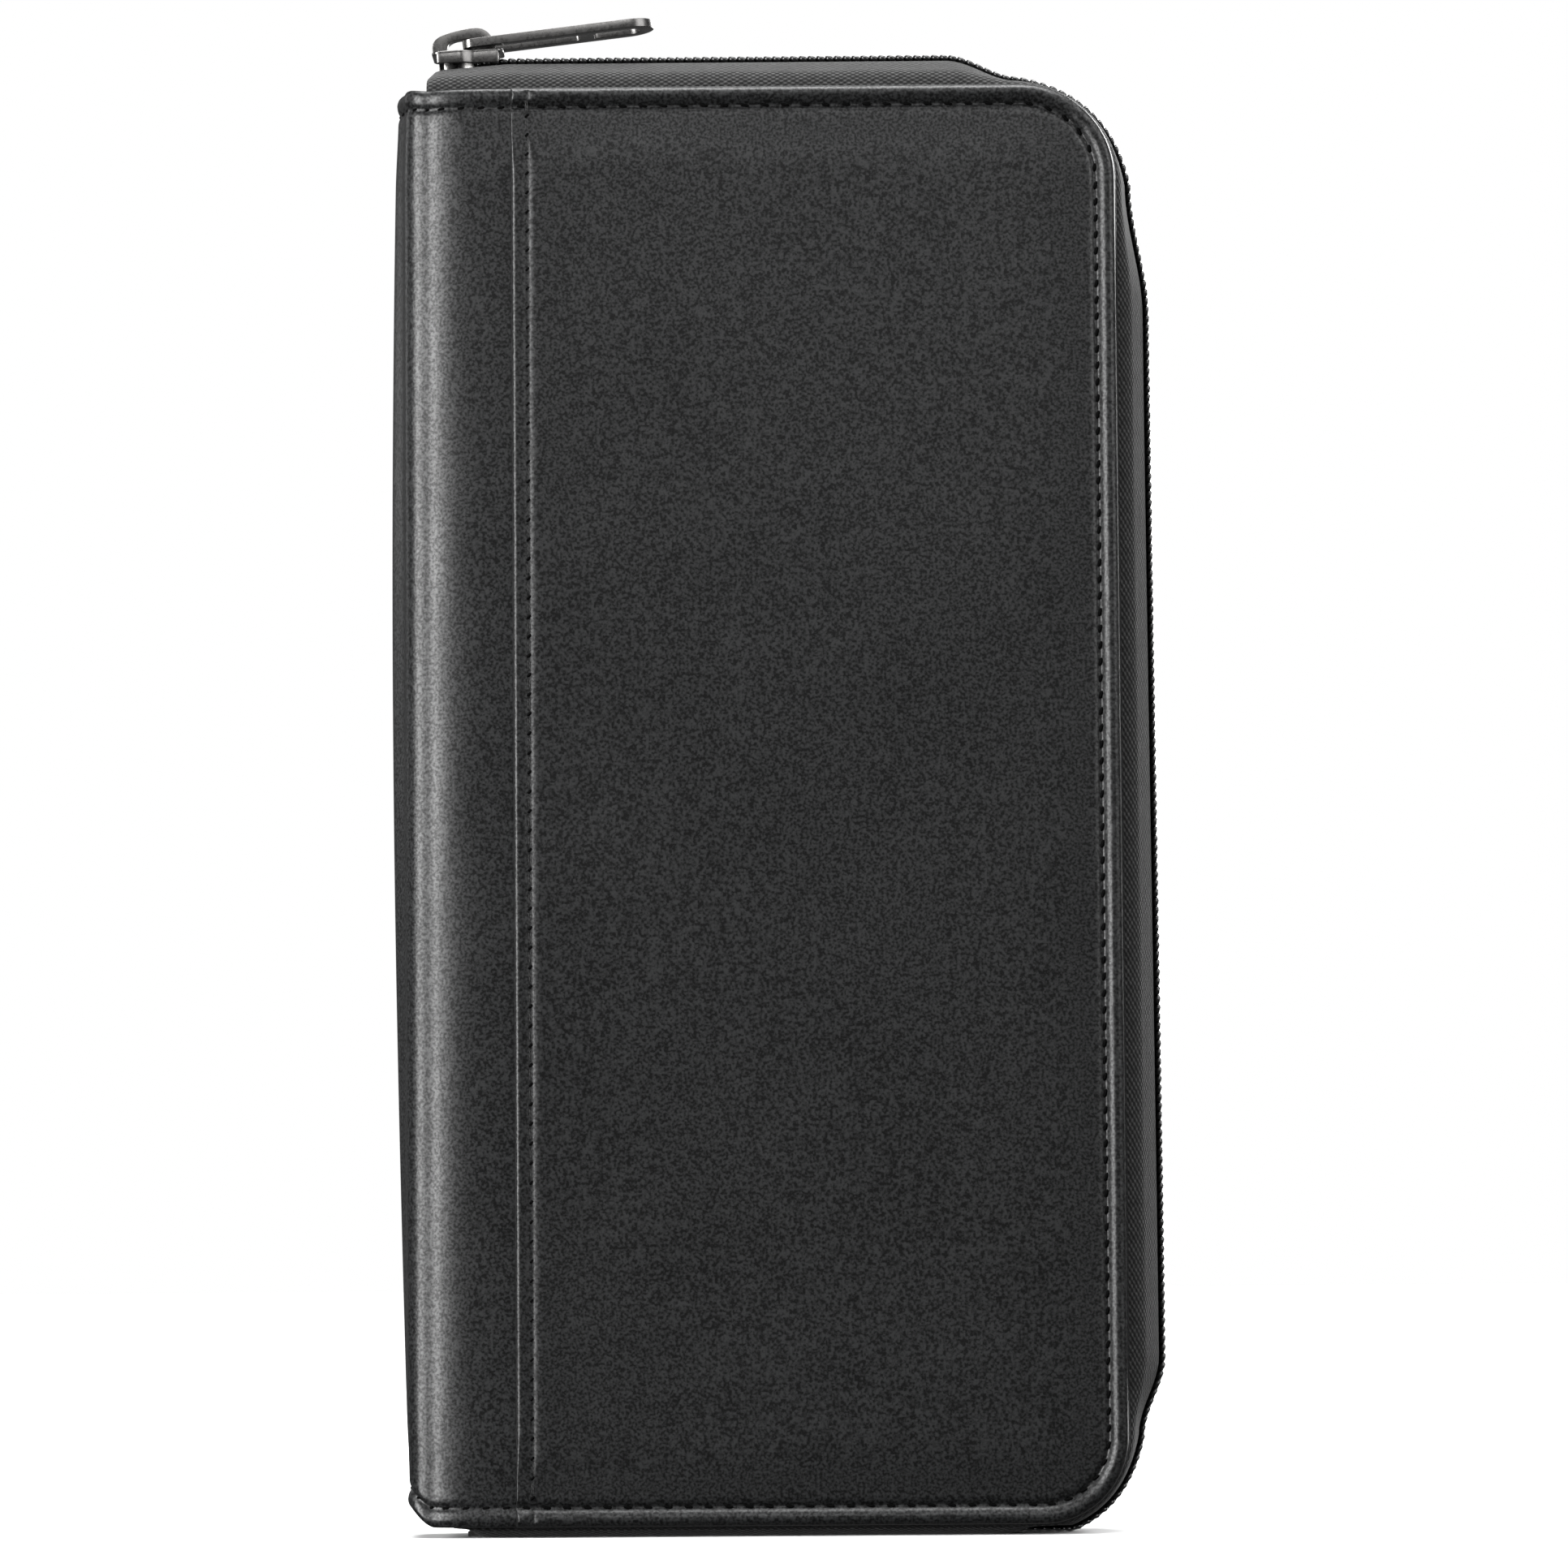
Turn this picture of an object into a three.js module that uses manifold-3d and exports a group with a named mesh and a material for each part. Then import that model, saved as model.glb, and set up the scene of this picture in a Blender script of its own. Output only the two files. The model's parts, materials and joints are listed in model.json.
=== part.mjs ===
// A zip-around long wallet standing on its bottom short edge, in millimetres.
// +Z is up, the front cover faces -Y and the spine is on -X. The origin is under the
// middle of the bounding box, on the surface that the wallet stands on.

import * as THREE from 'three';
import { mergeVertices } from 'three/addons/utils/BufferGeometryUtils.js';
import Module from 'manifold-3d';

const wasm = await Module();
wasm.setup();

// ---- Driving dimensions ----
const WIDTH = 119; // bowed spine to the outside of the zip's coil
const DEPTH = 25; // outside of one cover to the outside of the other
const COVER_HEIGHT = 222;
const COIL_REACH = 1.1; // middle of the tape's ridge to the outside of the coil
const SIDE_BULGE = 5.1; // how far the tape's ridge stands out of the covers, low on the side
const HIGH_SIDE_BULGE = 4.4;
const TOP_BULGE = 5.3;
const CORNER_BULGE = 1; // at the middle of a corner
const CORNER_RISE = 0.8; // how much more it stands out at a corner's ends
const BASE_DROP = 1.6; // the covers' bottom edge above the surface
const TOP_CORNER_RADIUS = 14.7;
const BOTTOM_CORNER_RADIUS = 13.2;
const SPINE_CORNER_RADIUS = 5; // where the spine leather folds round onto a cover
const SPINE_BOW = 2.4;
const SEAM_INSET = 19.3; // bowed spine to the folded edge of the cover's leather
const SEAM_LAP = 5.5; // how far the cover's leather lies over the spine leather
const LEATHER = 0.8;
const PADDED_LEATHER = 1.7; // leather with its backing, past the spine flap
const BOARD = 1.3;
const TAPE = 0.6;
const LINING = 0.6;
const LAYER_GAP = 0.1;
const TAPE_GAP = 0.2; // board to the sewn margin of the tape
const SPINE_ROOM = 6.5; // spine leather to the pages, so that the fold can close
const CUT_MARGIN = 10; // how far a cutting shape runs past what it cuts
const SMALL_RADIUS = 0.5; // corners beside the spine
const TURNED_EDGE = 1.3; // leather turned round the board's edge
const TAPE_MARGIN = 6; // zip tape sewn in between the board and the lining
const SLIDER_TILT = THREE.MathUtils.degToRad(4);
const PULL_TILT = THREE.MathUtils.degToRad(6.8);

// ---- Places worked out from them ----
const SPINE_FLAT_X = -WIDTH / 2 + SPINE_BOW;
const COVER_RIGHT_X = WIDTH / 2 - SIDE_BULGE - COIL_REACH;
const SEAM_X = -WIDTH / 2 + SEAM_INSET;
const BOTTOM_Z = BASE_DROP;
const TOP_Z = BASE_DROP + COVER_HEIGHT;
const FACE_Y = DEPTH / 2;
const FLAP_Y = FACE_Y - LEATHER - LAYER_GAP; // outside of the spine leather on a cover
const PADDED_INNER_Y = FACE_Y - PADDED_LEATHER;
const BOARD_Y = PADDED_INNER_Y - LAYER_GAP; // outer face of a cover's board
const BOARD_INNER_Y = BOARD_Y - BOARD;
const TAPE_Y = BOARD_INNER_Y - TAPE_GAP - TAPE / 2; // middle of the tape's sewn margin
const LINING_Y = TAPE_Y - TAPE / 2 - LAYER_GAP; // outer face of a cover's lining
const PAGE_Y = LINING_Y - LINING - LAYER_GAP; // outer face of what is sewn on the lining
const PAGE_LEFT_X = SPINE_FLAT_X + SPINE_ROOM;
const PAGE_INSET = 1.7; // lining edge inside the cover's edge

const wallet = new THREE.Group();

// ---- Materials ----
const leatherLook = { color: 0x2b2c2e, roughness: 0.62, metalness: 0 };
const liningLook = { color: 0x232427, roughness: 0.8, metalness: 0 };
const boardLook = { color: 0x8c8273, roughness: 0.9, metalness: 0 };
const tapeLook = { color: 0x35363a, roughness: 0.9, metalness: 0 };
const coilLook = { color: 0x17181a, roughness: 0.3, metalness: 0 };
const metalLook = { color: 0x3a3b3e, roughness: 0.25, metalness: 1 };

function addPart(name, geometry, look) {
  const mesh = new THREE.Mesh(geometry, new THREE.MeshStandardMaterial(look));
  mesh.name = name;
  wallet.add(mesh);
  return mesh;
}

// ---- Geometry helpers ----

// Turns a geometry into a manifold solid, with its shared corners merged.
function toSolid(geometry) {
  const bare = geometry.clone();
  bare.deleteAttribute('normal');
  bare.deleteAttribute('uv');
  const merged = mergeVertices(bare, 1e-4);
  return new wasm.Manifold(new wasm.Mesh({
    numProp: 3,
    vertProperties: new Float32Array(merged.attributes.position.array),
    triVerts: new Uint32Array(merged.index.array),
  }));
}

function toGeometry(solid) {
  const mesh = solid.getMesh();
  const geometry = new THREE.BufferGeometry();
  geometry.setAttribute('position', new THREE.BufferAttribute(mesh.vertProperties, 3));
  geometry.setIndex(new THREE.BufferAttribute(mesh.triVerts, 1));
  geometry.computeVertexNormals();
  return geometry;
}

function signedVolume(points, triangles) {
  return triangles.reduce((sum, [a, b, c]) => (
    sum + points[a].dot(new THREE.Vector3().crossVectors(points[b], points[c])) / 6
  ), 0);
}

// Joins closed sections, one at each station, into a capped solid. place() puts a
// section's 2D point in space at its station.
function loft(sections, stations, place) {
  const count = sections[0].length;
  const points = sections.flatMap((section, i) => section.map((p) => place(p, stations[i])));
  const triangles = [];
  for (let ring = 0; ring < sections.length - 1; ring += 1) {
    for (let i = 0; i < count; i += 1) {
      const a = ring * count + i;
      const b = ring * count + ((i + 1) % count);
      triangles.push([a, b, b + count], [a, b + count, a + count]);
    }
  }
  const last = (sections.length - 1) * count;
  for (const [a, b, c] of THREE.ShapeUtils.triangulateShape(sections[0], [])) {
    triangles.push([c, b, a]);
  }
  for (const [a, b, c] of THREE.ShapeUtils.triangulateShape(sections.at(-1), [])) {
    triangles.push([last + a, last + b, last + c]);
  }
  if (signedVolume(points, triangles) < 0) triangles.forEach((triangle) => triangle.reverse());
  const geometry = new THREE.BufferGeometry().setFromPoints(points);
  geometry.setIndex(triangles.flat());
  geometry.computeVertexNormals();
  return geometry;
}

// A closed band of even thickness round a 2D centre line.
function bandSection(centreLine, thickness) {
  const sideOf = (side) => centreLine.map((point, i) => {
    const before = centreLine[Math.max(i - 1, 0)];
    const after = centreLine[Math.min(i + 1, centreLine.length - 1)];
    const along = after.clone().sub(before).normalize();
    const across = new THREE.Vector2(-along.y, along.x);
    return point.clone().addScaledVector(across, side * thickness / 2);
  });
  return counterClockwise([...sideOf(1), ...sideOf(-1).reverse()]);
}

function counterClockwise(loop) {
  return THREE.ShapeUtils.isClockWise(loop) ? loop.reverse() : loop;
}

function steps(count, toValue) {
  return Array.from({ length: count + 1 }, (_, i) => toValue(i / count));
}

function ramp(value) {
  return THREE.MathUtils.smoothstep(value, 0, 1);
}

// A panel outline in the XZ plane, with its larger corners on the zip's side.
function panelShape({ left, right, bottom, top, spineRadius, topRadius, bottomRadius }) {
  const shape = new THREE.Shape();
  shape.moveTo(left + spineRadius, bottom);
  shape.absarc(right - bottomRadius, bottom + bottomRadius, bottomRadius, -Math.PI / 2, 0);
  shape.absarc(right - topRadius, top - topRadius, topRadius, 0, Math.PI / 2);
  shape.absarc(left + spineRadius, top - spineRadius, spineRadius, Math.PI / 2, Math.PI);
  shape.absarc(left + spineRadius, bottom + spineRadius, spineRadius, Math.PI, 1.5 * Math.PI);
  return shape;
}

// The cover's outline, cut at left and moved in by inset on the other three sides.
function coverShape(left, inset) {
  return panelShape({
    left,
    right: COVER_RIGHT_X - inset,
    bottom: BOTTOM_Z + inset,
    top: TOP_Z - inset,
    spineRadius: SMALL_RADIUS,
    topRadius: TOP_CORNER_RADIUS - inset,
    bottomRadius: BOTTOM_CORNER_RADIUS - inset,
  });
}

function rectangleShape(left, right, bottom, top, radius) {
  return panelShape({
    left, right, bottom, top, spineRadius: radius, topRadius: radius, bottomRadius: radius,
  });
}

// Extrudes an XZ outline in Y. side is -1 for the front cover and +1 for the back one;
// outerY and innerY are distances from the middle plane.
function plate(shape, side, outerY, innerY, curveSegments = 8) {
  const depth = outerY - innerY;
  const geometry = new THREE.ExtrudeGeometry(shape, { depth, bevelEnabled: false, curveSegments });
  geometry.rotateX(Math.PI / 2);
  geometry.translate(0, side > 0 ? outerY : -innerY, 0);
  return geometry;
}

// ---- Covers ----

// Cover leather: thick where it has its backing, thinner where it laps over the spine
// leather, and hollowed for the board so that its edge is turned round it.
function coverLeather(side) {
  const face = toSolid(plate(coverShape(SEAM_X, 0), side, FACE_Y, BOARD_INNER_Y));
  const recess = toSolid(plate(coverShape(SEAM_X - CUT_MARGIN, TURNED_EDGE), side, PADDED_INNER_Y, 0));
  const lap = toSolid(plate(
    rectangleShape(
      SEAM_X - CUT_MARGIN,
      SEAM_X + SEAM_LAP,
      BOTTOM_Z - CUT_MARGIN,
      TOP_Z + CUT_MARGIN,
      SMALL_RADIUS,
    ),
    side,
    FACE_Y - LEATHER,
    0,
  ));
  return toGeometry(face.subtract(recess).subtract(lap));
}

function coverBoard(side) {
  const outline = coverShape(PAGE_LEFT_X, TURNED_EDGE + LAYER_GAP);
  return plate(outline, side, BOARD_Y, BOARD_INNER_Y + LAYER_GAP / 2);
}

function coverLining(side) {
  return plate(coverShape(PAGE_LEFT_X, PAGE_INSET), side, LINING_Y, LINING_Y - LINING);
}

// Middle line of the spine leather's fold, from one angle to another round the corner.
function foldArc(side, fromAngle, toAngle) {
  const radius = SPINE_CORNER_RADIUS - LEATHER / 2;
  const centreX = SPINE_FLAT_X + SPINE_CORNER_RADIUS;
  const centreY = FLAP_Y - SPINE_CORNER_RADIUS;
  return steps(4, (t) => {
    const angle = THREE.MathUtils.degToRad(fromAngle + (toAngle - fromAngle) * t);
    return new THREE.Vector2(
      centreX - radius * Math.cos(angle),
      side * (centreY + radius * Math.sin(angle)),
    );
  });
}

// The spine leather is one piece that folds at both corners. Each cover holds the flap
// past its fold line, and the spine holds the rest.
const FOLD_ANGLE = 45;
const FOLD_GAP_ANGLE = 2;
const FLAP_END_GAP = 0.3; // flap's end to the step in the cover's leather

function spineFlap(side) {
  const line = [
    ...foldArc(side, FOLD_ANGLE + FOLD_GAP_ANGLE, 90),
    new THREE.Vector2(SEAM_X + SEAM_LAP - FLAP_END_GAP, side * (FLAP_Y - LEATHER / 2)),
  ];
  const section = bandSection(line, LEATHER);
  const heights = [BOTTOM_Z, TOP_Z];
  return loft(heights.map(() => section), heights, (p, z) => new THREE.Vector3(p.x, p.y, z));
}

// ---- Spine ----

function spineSection(bow) {
  const reach = FLAP_Y - SPINE_CORNER_RADIUS;
  const middleX = SPINE_FLAT_X + LEATHER / 2;
  const bowed = steps(8, (t) => {
    const y = THREE.MathUtils.lerp(-reach, reach, t);
    return new THREE.Vector2(middleX - bow * (1 + Math.cos(Math.PI * y / reach)) / 2, y);
  });
  const foldEnd = FOLD_ANGLE - FOLD_GAP_ANGLE;
  const line = [
    ...foldArc(-1, foldEnd, 0).slice(0, -1),
    ...bowed,
    ...foldArc(1, 0, foldEnd).slice(1),
  ];
  return bandSection(line, LEATHER);
}

const BOW_SHARE = 0.8; // how much of a half wave the bow's profile takes up

function spineLeather() {
  const heights = steps(12, (t) => BOTTOM_Z + COVER_HEIGHT * t);
  // The bow is fullest above the middle, and some of it is left at the top.
  const bowAt = (z) => SPINE_BOW * Math.sin(BOW_SHARE * Math.PI * (z - BOTTOM_Z) / COVER_HEIGHT);
  const sections = heights.map((z) => spineSection(bowAt(z)));
  return loft(sections, heights, (p, z) => new THREE.Vector3(p.x, p.y, z));
}

const SPINE_LAYER_GAP = 0.3;
const SPINE_BOARD_X = SPINE_FLAT_X + LEATHER + SPINE_LAYER_GAP;
const SPINE_LINING_X = SPINE_BOARD_X + BOARD + LAYER_GAP;
const SPINE_BOARD_HALF = 6.4; // half depths that clear the folds
const SPINE_LINING_HALF = 6.6;

function spineStrip(fromX, thickness, halfDepth) {
  const height = COVER_HEIGHT - 2 * TURNED_EDGE;
  const strip = new THREE.BoxGeometry(thickness, 2 * halfDepth, height);
  strip.translate(fromX + thickness / 2, 0, BOTTOM_Z + COVER_HEIGHT / 2);
  return strip;
}

// ---- Zip ----

// Stations along the covers' edge from the bottom beside the spine, round both corners
// and back along the top. normal points out of the wallet, bulge is how far the tape's
// ridge stands out, and flat is 1 where the tape is pressed flat by the surface.
const TAPE_BOTTOM_X = -49.9;
const TAPE_TOP_X = -53.4;
const COIL_TOP_X = -41.2;
const COIL_BOTTOM_X = -46;
const SLIDER_NOSE_X = -52.9;
const DIP_X = SLIDER_NOSE_X + 0.9; // beyond here the tape drops away under the slider's nose
const DIP_BULGE = 3.5;
const END_BULGE = 2.2;
const BASE_RAMP = 6;
const MIDDLE_SHARES = [0.3, 0.6]; // where a straight run has its stations
const SLIDER_MIDDLE_X = COIL_TOP_X - 5.8;
const CORNER_END_BULGE = CORNER_BULGE + CORNER_RISE;
const LOW_RAMP = 12; // length over which the bulge grows beside a corner
const HIGH_RAMP = 20;
const TOP_RAMP = 11;
const BASE_BULGE = BASE_DROP - COIL_REACH;
const BASE_SHOULDER = BASE_DROP - TAPE / 2;

function bottomStations(fromX) {
  const toX = COVER_RIGHT_X - BOTTOM_CORNER_RADIUS;
  const rampX = toX - BASE_RAMP;
  const middle = MIDDLE_SHARES.map((t) => THREE.MathUtils.lerp(fromX, rampX, t));
  return [fromX, ...middle, rampX, toX].map((x) => ({
    x,
    z: BOTTOM_Z,
    normal: new THREE.Vector2(0, -1),
    bulge: BASE_BULGE,
    flat: 1 - ramp((x - rampX) / BASE_RAMP),
  }));
}

// The most that a corner's ridge can stand out before its coil meets the surface below.
function bulgeAboveSurface(radius, centreZ, normal) {
  if (normal.y >= 0) return Infinity;
  return centreZ / -normal.y - radius - COIL_REACH;
}

function cornerStations(radius, centreZ, fromAngle) {
  const centreX = COVER_RIGHT_X - radius;
  return steps(6, (t) => {
    const angle = fromAngle + t * Math.PI / 2;
    const normal = new THREE.Vector2(Math.cos(angle), Math.sin(angle));
    const full = CORNER_BULGE + CORNER_RISE * Math.abs(2 * t - 1) ** 3;
    const bulge = Math.min(full, bulgeAboveSurface(radius, centreZ, normal));
    return {
      x: centreX + radius * normal.x, z: centreZ + radius * normal.y, normal, bulge, flat: 0,
    };
  });
}

function sideStations() {
  const fromZ = BOTTOM_Z + BOTTOM_CORNER_RADIUS;
  const toZ = TOP_Z - TOP_CORNER_RADIUS;
  const below = [0.25, 0.5, 0.75, 1].map((t) => fromZ + t * LOW_RAMP);
  const above = [1, 0.8, 0.6, 0.4, 0.2].map((t) => toZ - t * HIGH_RAMP);
  const between = [0.25, 0.5, 0.75].map((t) => THREE.MathUtils.lerp(below.at(-1), above[0], t));
  return [...below, ...between, ...above].map((z) => {
    const full = THREE.MathUtils.lerp(SIDE_BULGE, HIGH_SIDE_BULGE, ramp((z - fromZ) / (toZ - fromZ)));
    const grown = Math.min(ramp((z - fromZ) / LOW_RAMP), ramp((toZ - z) / HIGH_RAMP));
    const bulge = THREE.MathUtils.lerp(CORNER_END_BULGE, full, grown);
    return { x: COVER_RIGHT_X, z, normal: new THREE.Vector2(1, 0), bulge, flat: 0 };
  });
}

function topBulge(x) {
  const cornerX = COVER_RIGHT_X - TOP_CORNER_RADIUS;
  if (x > cornerX - TOP_RAMP) {
    return THREE.MathUtils.lerp(CORNER_END_BULGE, TOP_BULGE, ramp((cornerX - x) / TOP_RAMP));
  }
  if (x < DIP_X) return END_BULGE;
  return THREE.MathUtils.mapLinear(Math.min(x, COIL_TOP_X), DIP_X, COIL_TOP_X, DIP_BULGE, TOP_BULGE);
}

function topStations(toX) {
  const cornerX = COVER_RIGHT_X - TOP_CORNER_RADIUS;
  const places = [0.25, 0.5, 0.75, 1].map((t) => cornerX - t * TOP_RAMP);
  const straightX = places.at(-1);
  places.push(...MIDDLE_SHARES.map((t) => THREE.MathUtils.lerp(straightX, COIL_TOP_X, t)), COIL_TOP_X);
  if (toX < COIL_TOP_X) places.push(SLIDER_MIDDLE_X, DIP_X, toX);
  return places.map((x) => ({
    x, z: TOP_Z, normal: new THREE.Vector2(0, 1), bulge: topBulge(x), flat: 0,
  }));
}

function zipStations(bottomX, topX) {
  const lowCentreZ = BOTTOM_Z + BOTTOM_CORNER_RADIUS;
  const highCentreZ = TOP_Z - TOP_CORNER_RADIUS;
  return [
    ...bottomStations(bottomX).slice(0, -1),
    ...cornerStations(BOTTOM_CORNER_RADIUS, lowCentreZ, -Math.PI / 2),
    ...sideStations(),
    ...cornerStations(TOP_CORNER_RADIUS, highCentreZ, 0),
    ...topStations(topX),
  ];
}

function placeOnEdge(point, { x, z, normal }) {
  return new THREE.Vector3(x + normal.x * point.x, point.y, z + normal.y * point.x);
}

// Tape from its sewn margin, round the shoulder and up to the ridge beside the coil.
const TAPE_EDGE_Y = 0.65;
const COIL_SHELF_Y = 2.1; // the tape lies level from here to its edge, under the coil
const RIDGE_Y = 3.4;
const SHOULDER_Y = 6.2;
const SHOULDER_SHARE = 0.72; // shoulder's height as a share of the ridge's
const RIDGE_SHARE = 0.92; // ridge's height as a share of the bulge
const TURN_SHARE = 0.45;
const TURN_DROP = 0.8; // how far inward the tape turns as it leaves the cover
const MARGIN_END = 0.5;

function tapeSection(side, { bulge, flat }) {
  const shoulder = THREE.MathUtils.lerp(RIDGE_SHARE * bulge, BASE_SHOULDER, flat);
  const line = [
    [-TAPE_MARGIN, TAPE_Y],
    [-MARGIN_END, TAPE_Y],
    [TURN_SHARE * shoulder, TAPE_Y - TURN_DROP],
    [THREE.MathUtils.lerp(SHOULDER_SHARE, 1, flat) * shoulder, SHOULDER_Y],
    [shoulder, RIDGE_Y],
    [bulge, COIL_SHELF_Y],
    [bulge, TAPE_EDGE_Y],
  ];
  return bandSection(line.map(([out, y]) => new THREE.Vector2(out, side * y)), TAPE);
}

function zipTape(side) {
  const stations = zipStations(TAPE_BOTTOM_X, TAPE_TOP_X);
  return loft(stations.map((station) => tapeSection(side, station)), stations, placeOnEdge);
}

// Envelope of one half of the spiral coil, on the outside of its tape.
const COIL_INNER_Y = 0.45;
const COIL_OUTER_Y = 1.6;
const COIL_FOOT = 0.4; // middle of the tape's ridge to the coil's underside
const COIL_CHAMFER = 0.2;
const STOP_LENGTH = 1.6;
const STOP_GAP = 0.5; // coil's end to the stop

function coilSection(side, { bulge }) {
  const corners = [
    [bulge + COIL_FOOT, COIL_INNER_Y],
    [bulge + COIL_REACH, COIL_INNER_Y],
    [bulge + COIL_REACH, COIL_OUTER_Y - COIL_CHAMFER],
    [bulge + COIL_REACH - COIL_CHAMFER, COIL_OUTER_Y],
    [bulge + COIL_FOOT, COIL_OUTER_Y],
  ];
  return counterClockwise(corners.map(([out, y]) => new THREE.Vector2(out, side * y)));
}

function zipCoil(side) {
  const stations = zipStations(COIL_BOTTOM_X, COIL_TOP_X);
  return loft(stations.map((station) => coilSection(side, station)), stations, placeOnEdge);
}

// Metal stop clamped on each tape at the bottom end of its coil.
function bottomStop(side) {
  const height = COIL_REACH - COIL_FOOT;
  const stop = new THREE.BoxGeometry(STOP_LENGTH, COIL_OUTER_Y - COIL_INNER_Y, height);
  const middleY = side * (COIL_OUTER_Y + COIL_INNER_Y) / 2;
  stop.translate(COIL_BOTTOM_X - STOP_GAP - STOP_LENGTH / 2, middleY, height / 2);
  return stop;
}

// ---- Slider and pull ----

// The slider is drawn along +X from its nose, with its top plate's underside at height 0,
// and is then turned and moved onto the zip.
const SLIDER_LENGTH = 11.2;
const SLIDER_PLATE = 0.7;
const SLIDER_CHANNEL = 3.8; // between the two plates
const NOSE_HALF_WIDTH = 4.3;
const TAIL_HALF_WIDTH = 3.4;
const FLANGE_DEPTH = 0.9; // stays above the tape's ridge
const PLATE_CORNER = 1.2;
const WAIST_SHARE = 0.45; // where the slider starts to narrow, as a share of its length
const WAIST_LENGTH = 2;
const LOWER_NOSE_INSET = 1.3;
const LOWER_TAIL_INSET = 0.6;
const LOWER_SIDE_INSET = 1;
const POST_NOSE_X = 1.6;
const POST_TAIL_X = 4;
const POST_ROOT = 0.2; // how far the post is set into both plates
const CHANNEL_HALF_WIDTH = 2.6;
const SLIDER_NOSE_Z = TOP_Z + TOP_BULGE + COIL_REACH + 0.05; // underside of the top plate
const POST_HALF_WIDTH = 0.3; // passes between the two halves of the coil
const PULL_PIVOT = new THREE.Vector2(5.55, SLIDER_PLATE + 0.95);
const BAIL_WIDTH = 2.2;

function sliderOutline(fromX, toX, inset) {
  const shape = new THREE.Shape();
  const waistX = fromX + WAIST_SHARE * (toX - fromX);
  const corner = PLATE_CORNER;
  shape.moveTo(fromX + corner, -(NOSE_HALF_WIDTH - inset));
  shape.lineTo(waistX, -(NOSE_HALF_WIDTH - inset));
  shape.lineTo(waistX + WAIST_LENGTH, -(TAIL_HALF_WIDTH - inset));
  shape.absarc(toX - corner, -(TAIL_HALF_WIDTH - inset - corner), corner, -Math.PI / 2, 0);
  shape.absarc(toX - corner, TAIL_HALF_WIDTH - inset - corner, corner, 0, Math.PI / 2);
  shape.lineTo(waistX + WAIST_LENGTH, TAIL_HALF_WIDTH - inset);
  shape.lineTo(waistX, NOSE_HALF_WIDTH - inset);
  shape.absarc(fromX + corner, NOSE_HALF_WIDTH - inset - corner, corner, Math.PI / 2, Math.PI);
  shape.absarc(fromX + corner, -(NOSE_HALF_WIDTH - inset - corner), corner, Math.PI, 1.5 * Math.PI);
  return shape;
}

function flatExtrusion(shape, fromZ, toZ) {
  const options = { depth: toZ - fromZ, bevelEnabled: false, curveSegments: 4 };
  return new THREE.ExtrudeGeometry(shape, options).translate(0, 0, fromZ);
}

function sliderBody() {
  const topShell = toSolid(flatExtrusion(
    sliderOutline(0, SLIDER_LENGTH, 0),
    -FLANGE_DEPTH,
    SLIDER_PLATE,
  ));
  const channelBox = new THREE.BoxGeometry(
    SLIDER_LENGTH + CUT_MARGIN,
    2 * CHANNEL_HALF_WIDTH,
    SLIDER_CHANNEL,
  );
  const channel = toSolid(channelBox.translate(SLIDER_LENGTH / 2, 0, -SLIDER_CHANNEL / 2));
  const bottomPlate = toSolid(flatExtrusion(
    sliderOutline(LOWER_NOSE_INSET, SLIDER_LENGTH - LOWER_TAIL_INSET, LOWER_SIDE_INSET),
    -SLIDER_CHANNEL - SLIDER_PLATE,
    -SLIDER_CHANNEL,
  ));
  const postMiddleX = (POST_NOSE_X + POST_TAIL_X) / 2;
  const postShape = new THREE.Shape([
    new THREE.Vector2(POST_NOSE_X, 0),
    new THREE.Vector2(postMiddleX, -POST_HALF_WIDTH),
    new THREE.Vector2(POST_TAIL_X, 0),
    new THREE.Vector2(postMiddleX, POST_HALF_WIDTH),
  ]);
  const post = toSolid(flatExtrusion(postShape, -SLIDER_CHANNEL - POST_ROOT, POST_ROOT));
  return toGeometry(topShell.subtract(channel).add(bottomPlate).add(post));
}

// The arch on the top plate that the pull hangs in, drawn in the XZ plane.
const BAIL_FOOT = SLIDER_PLATE + LAYER_GAP;
const BAIL_LEFT = 0.3;
const BAIL_RIGHT = 10.2;
const BAIL_TOP = BAIL_FOOT + 3.4;
const BAIL_SHOULDER_LEFT = 4.4; // between the shoulders its top is level
const BAIL_SHOULDER_RIGHT = 7.6;
const EYE_LEFT = 2.4; // the hole that the pull's bar turns in
const EYE_RIGHT = 8.2;
const EYE_TOP = BAIL_FOOT + 2.05;
const EYE_CORNER = 0.8;

function sliderBail() {
  const shape = new THREE.Shape();
  shape.moveTo(BAIL_LEFT, BAIL_FOOT);
  shape.lineTo(EYE_LEFT, BAIL_FOOT);
  shape.lineTo(EYE_LEFT, EYE_TOP - EYE_CORNER);
  shape.quadraticCurveTo(EYE_LEFT, EYE_TOP, EYE_LEFT + EYE_CORNER, EYE_TOP);
  shape.lineTo(EYE_RIGHT - EYE_CORNER, EYE_TOP);
  shape.quadraticCurveTo(EYE_RIGHT, EYE_TOP, EYE_RIGHT, EYE_TOP - EYE_CORNER);
  shape.lineTo(EYE_RIGHT, BAIL_FOOT);
  shape.lineTo(BAIL_RIGHT, BAIL_FOOT);
  shape.quadraticCurveTo(BAIL_RIGHT, BAIL_TOP, BAIL_SHOULDER_RIGHT, BAIL_TOP);
  shape.lineTo(BAIL_SHOULDER_LEFT, BAIL_TOP);
  shape.quadraticCurveTo(BAIL_LEFT, BAIL_TOP, BAIL_LEFT, BAIL_FOOT);
  const options = { depth: BAIL_WIDTH, bevelEnabled: false, curveSegments: 6 };
  const arch = new THREE.ExtrudeGeometry(shape, options);
  arch.rotateX(Math.PI / 2);
  return arch.translate(0, BAIL_WIDTH / 2, 0);
}

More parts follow.
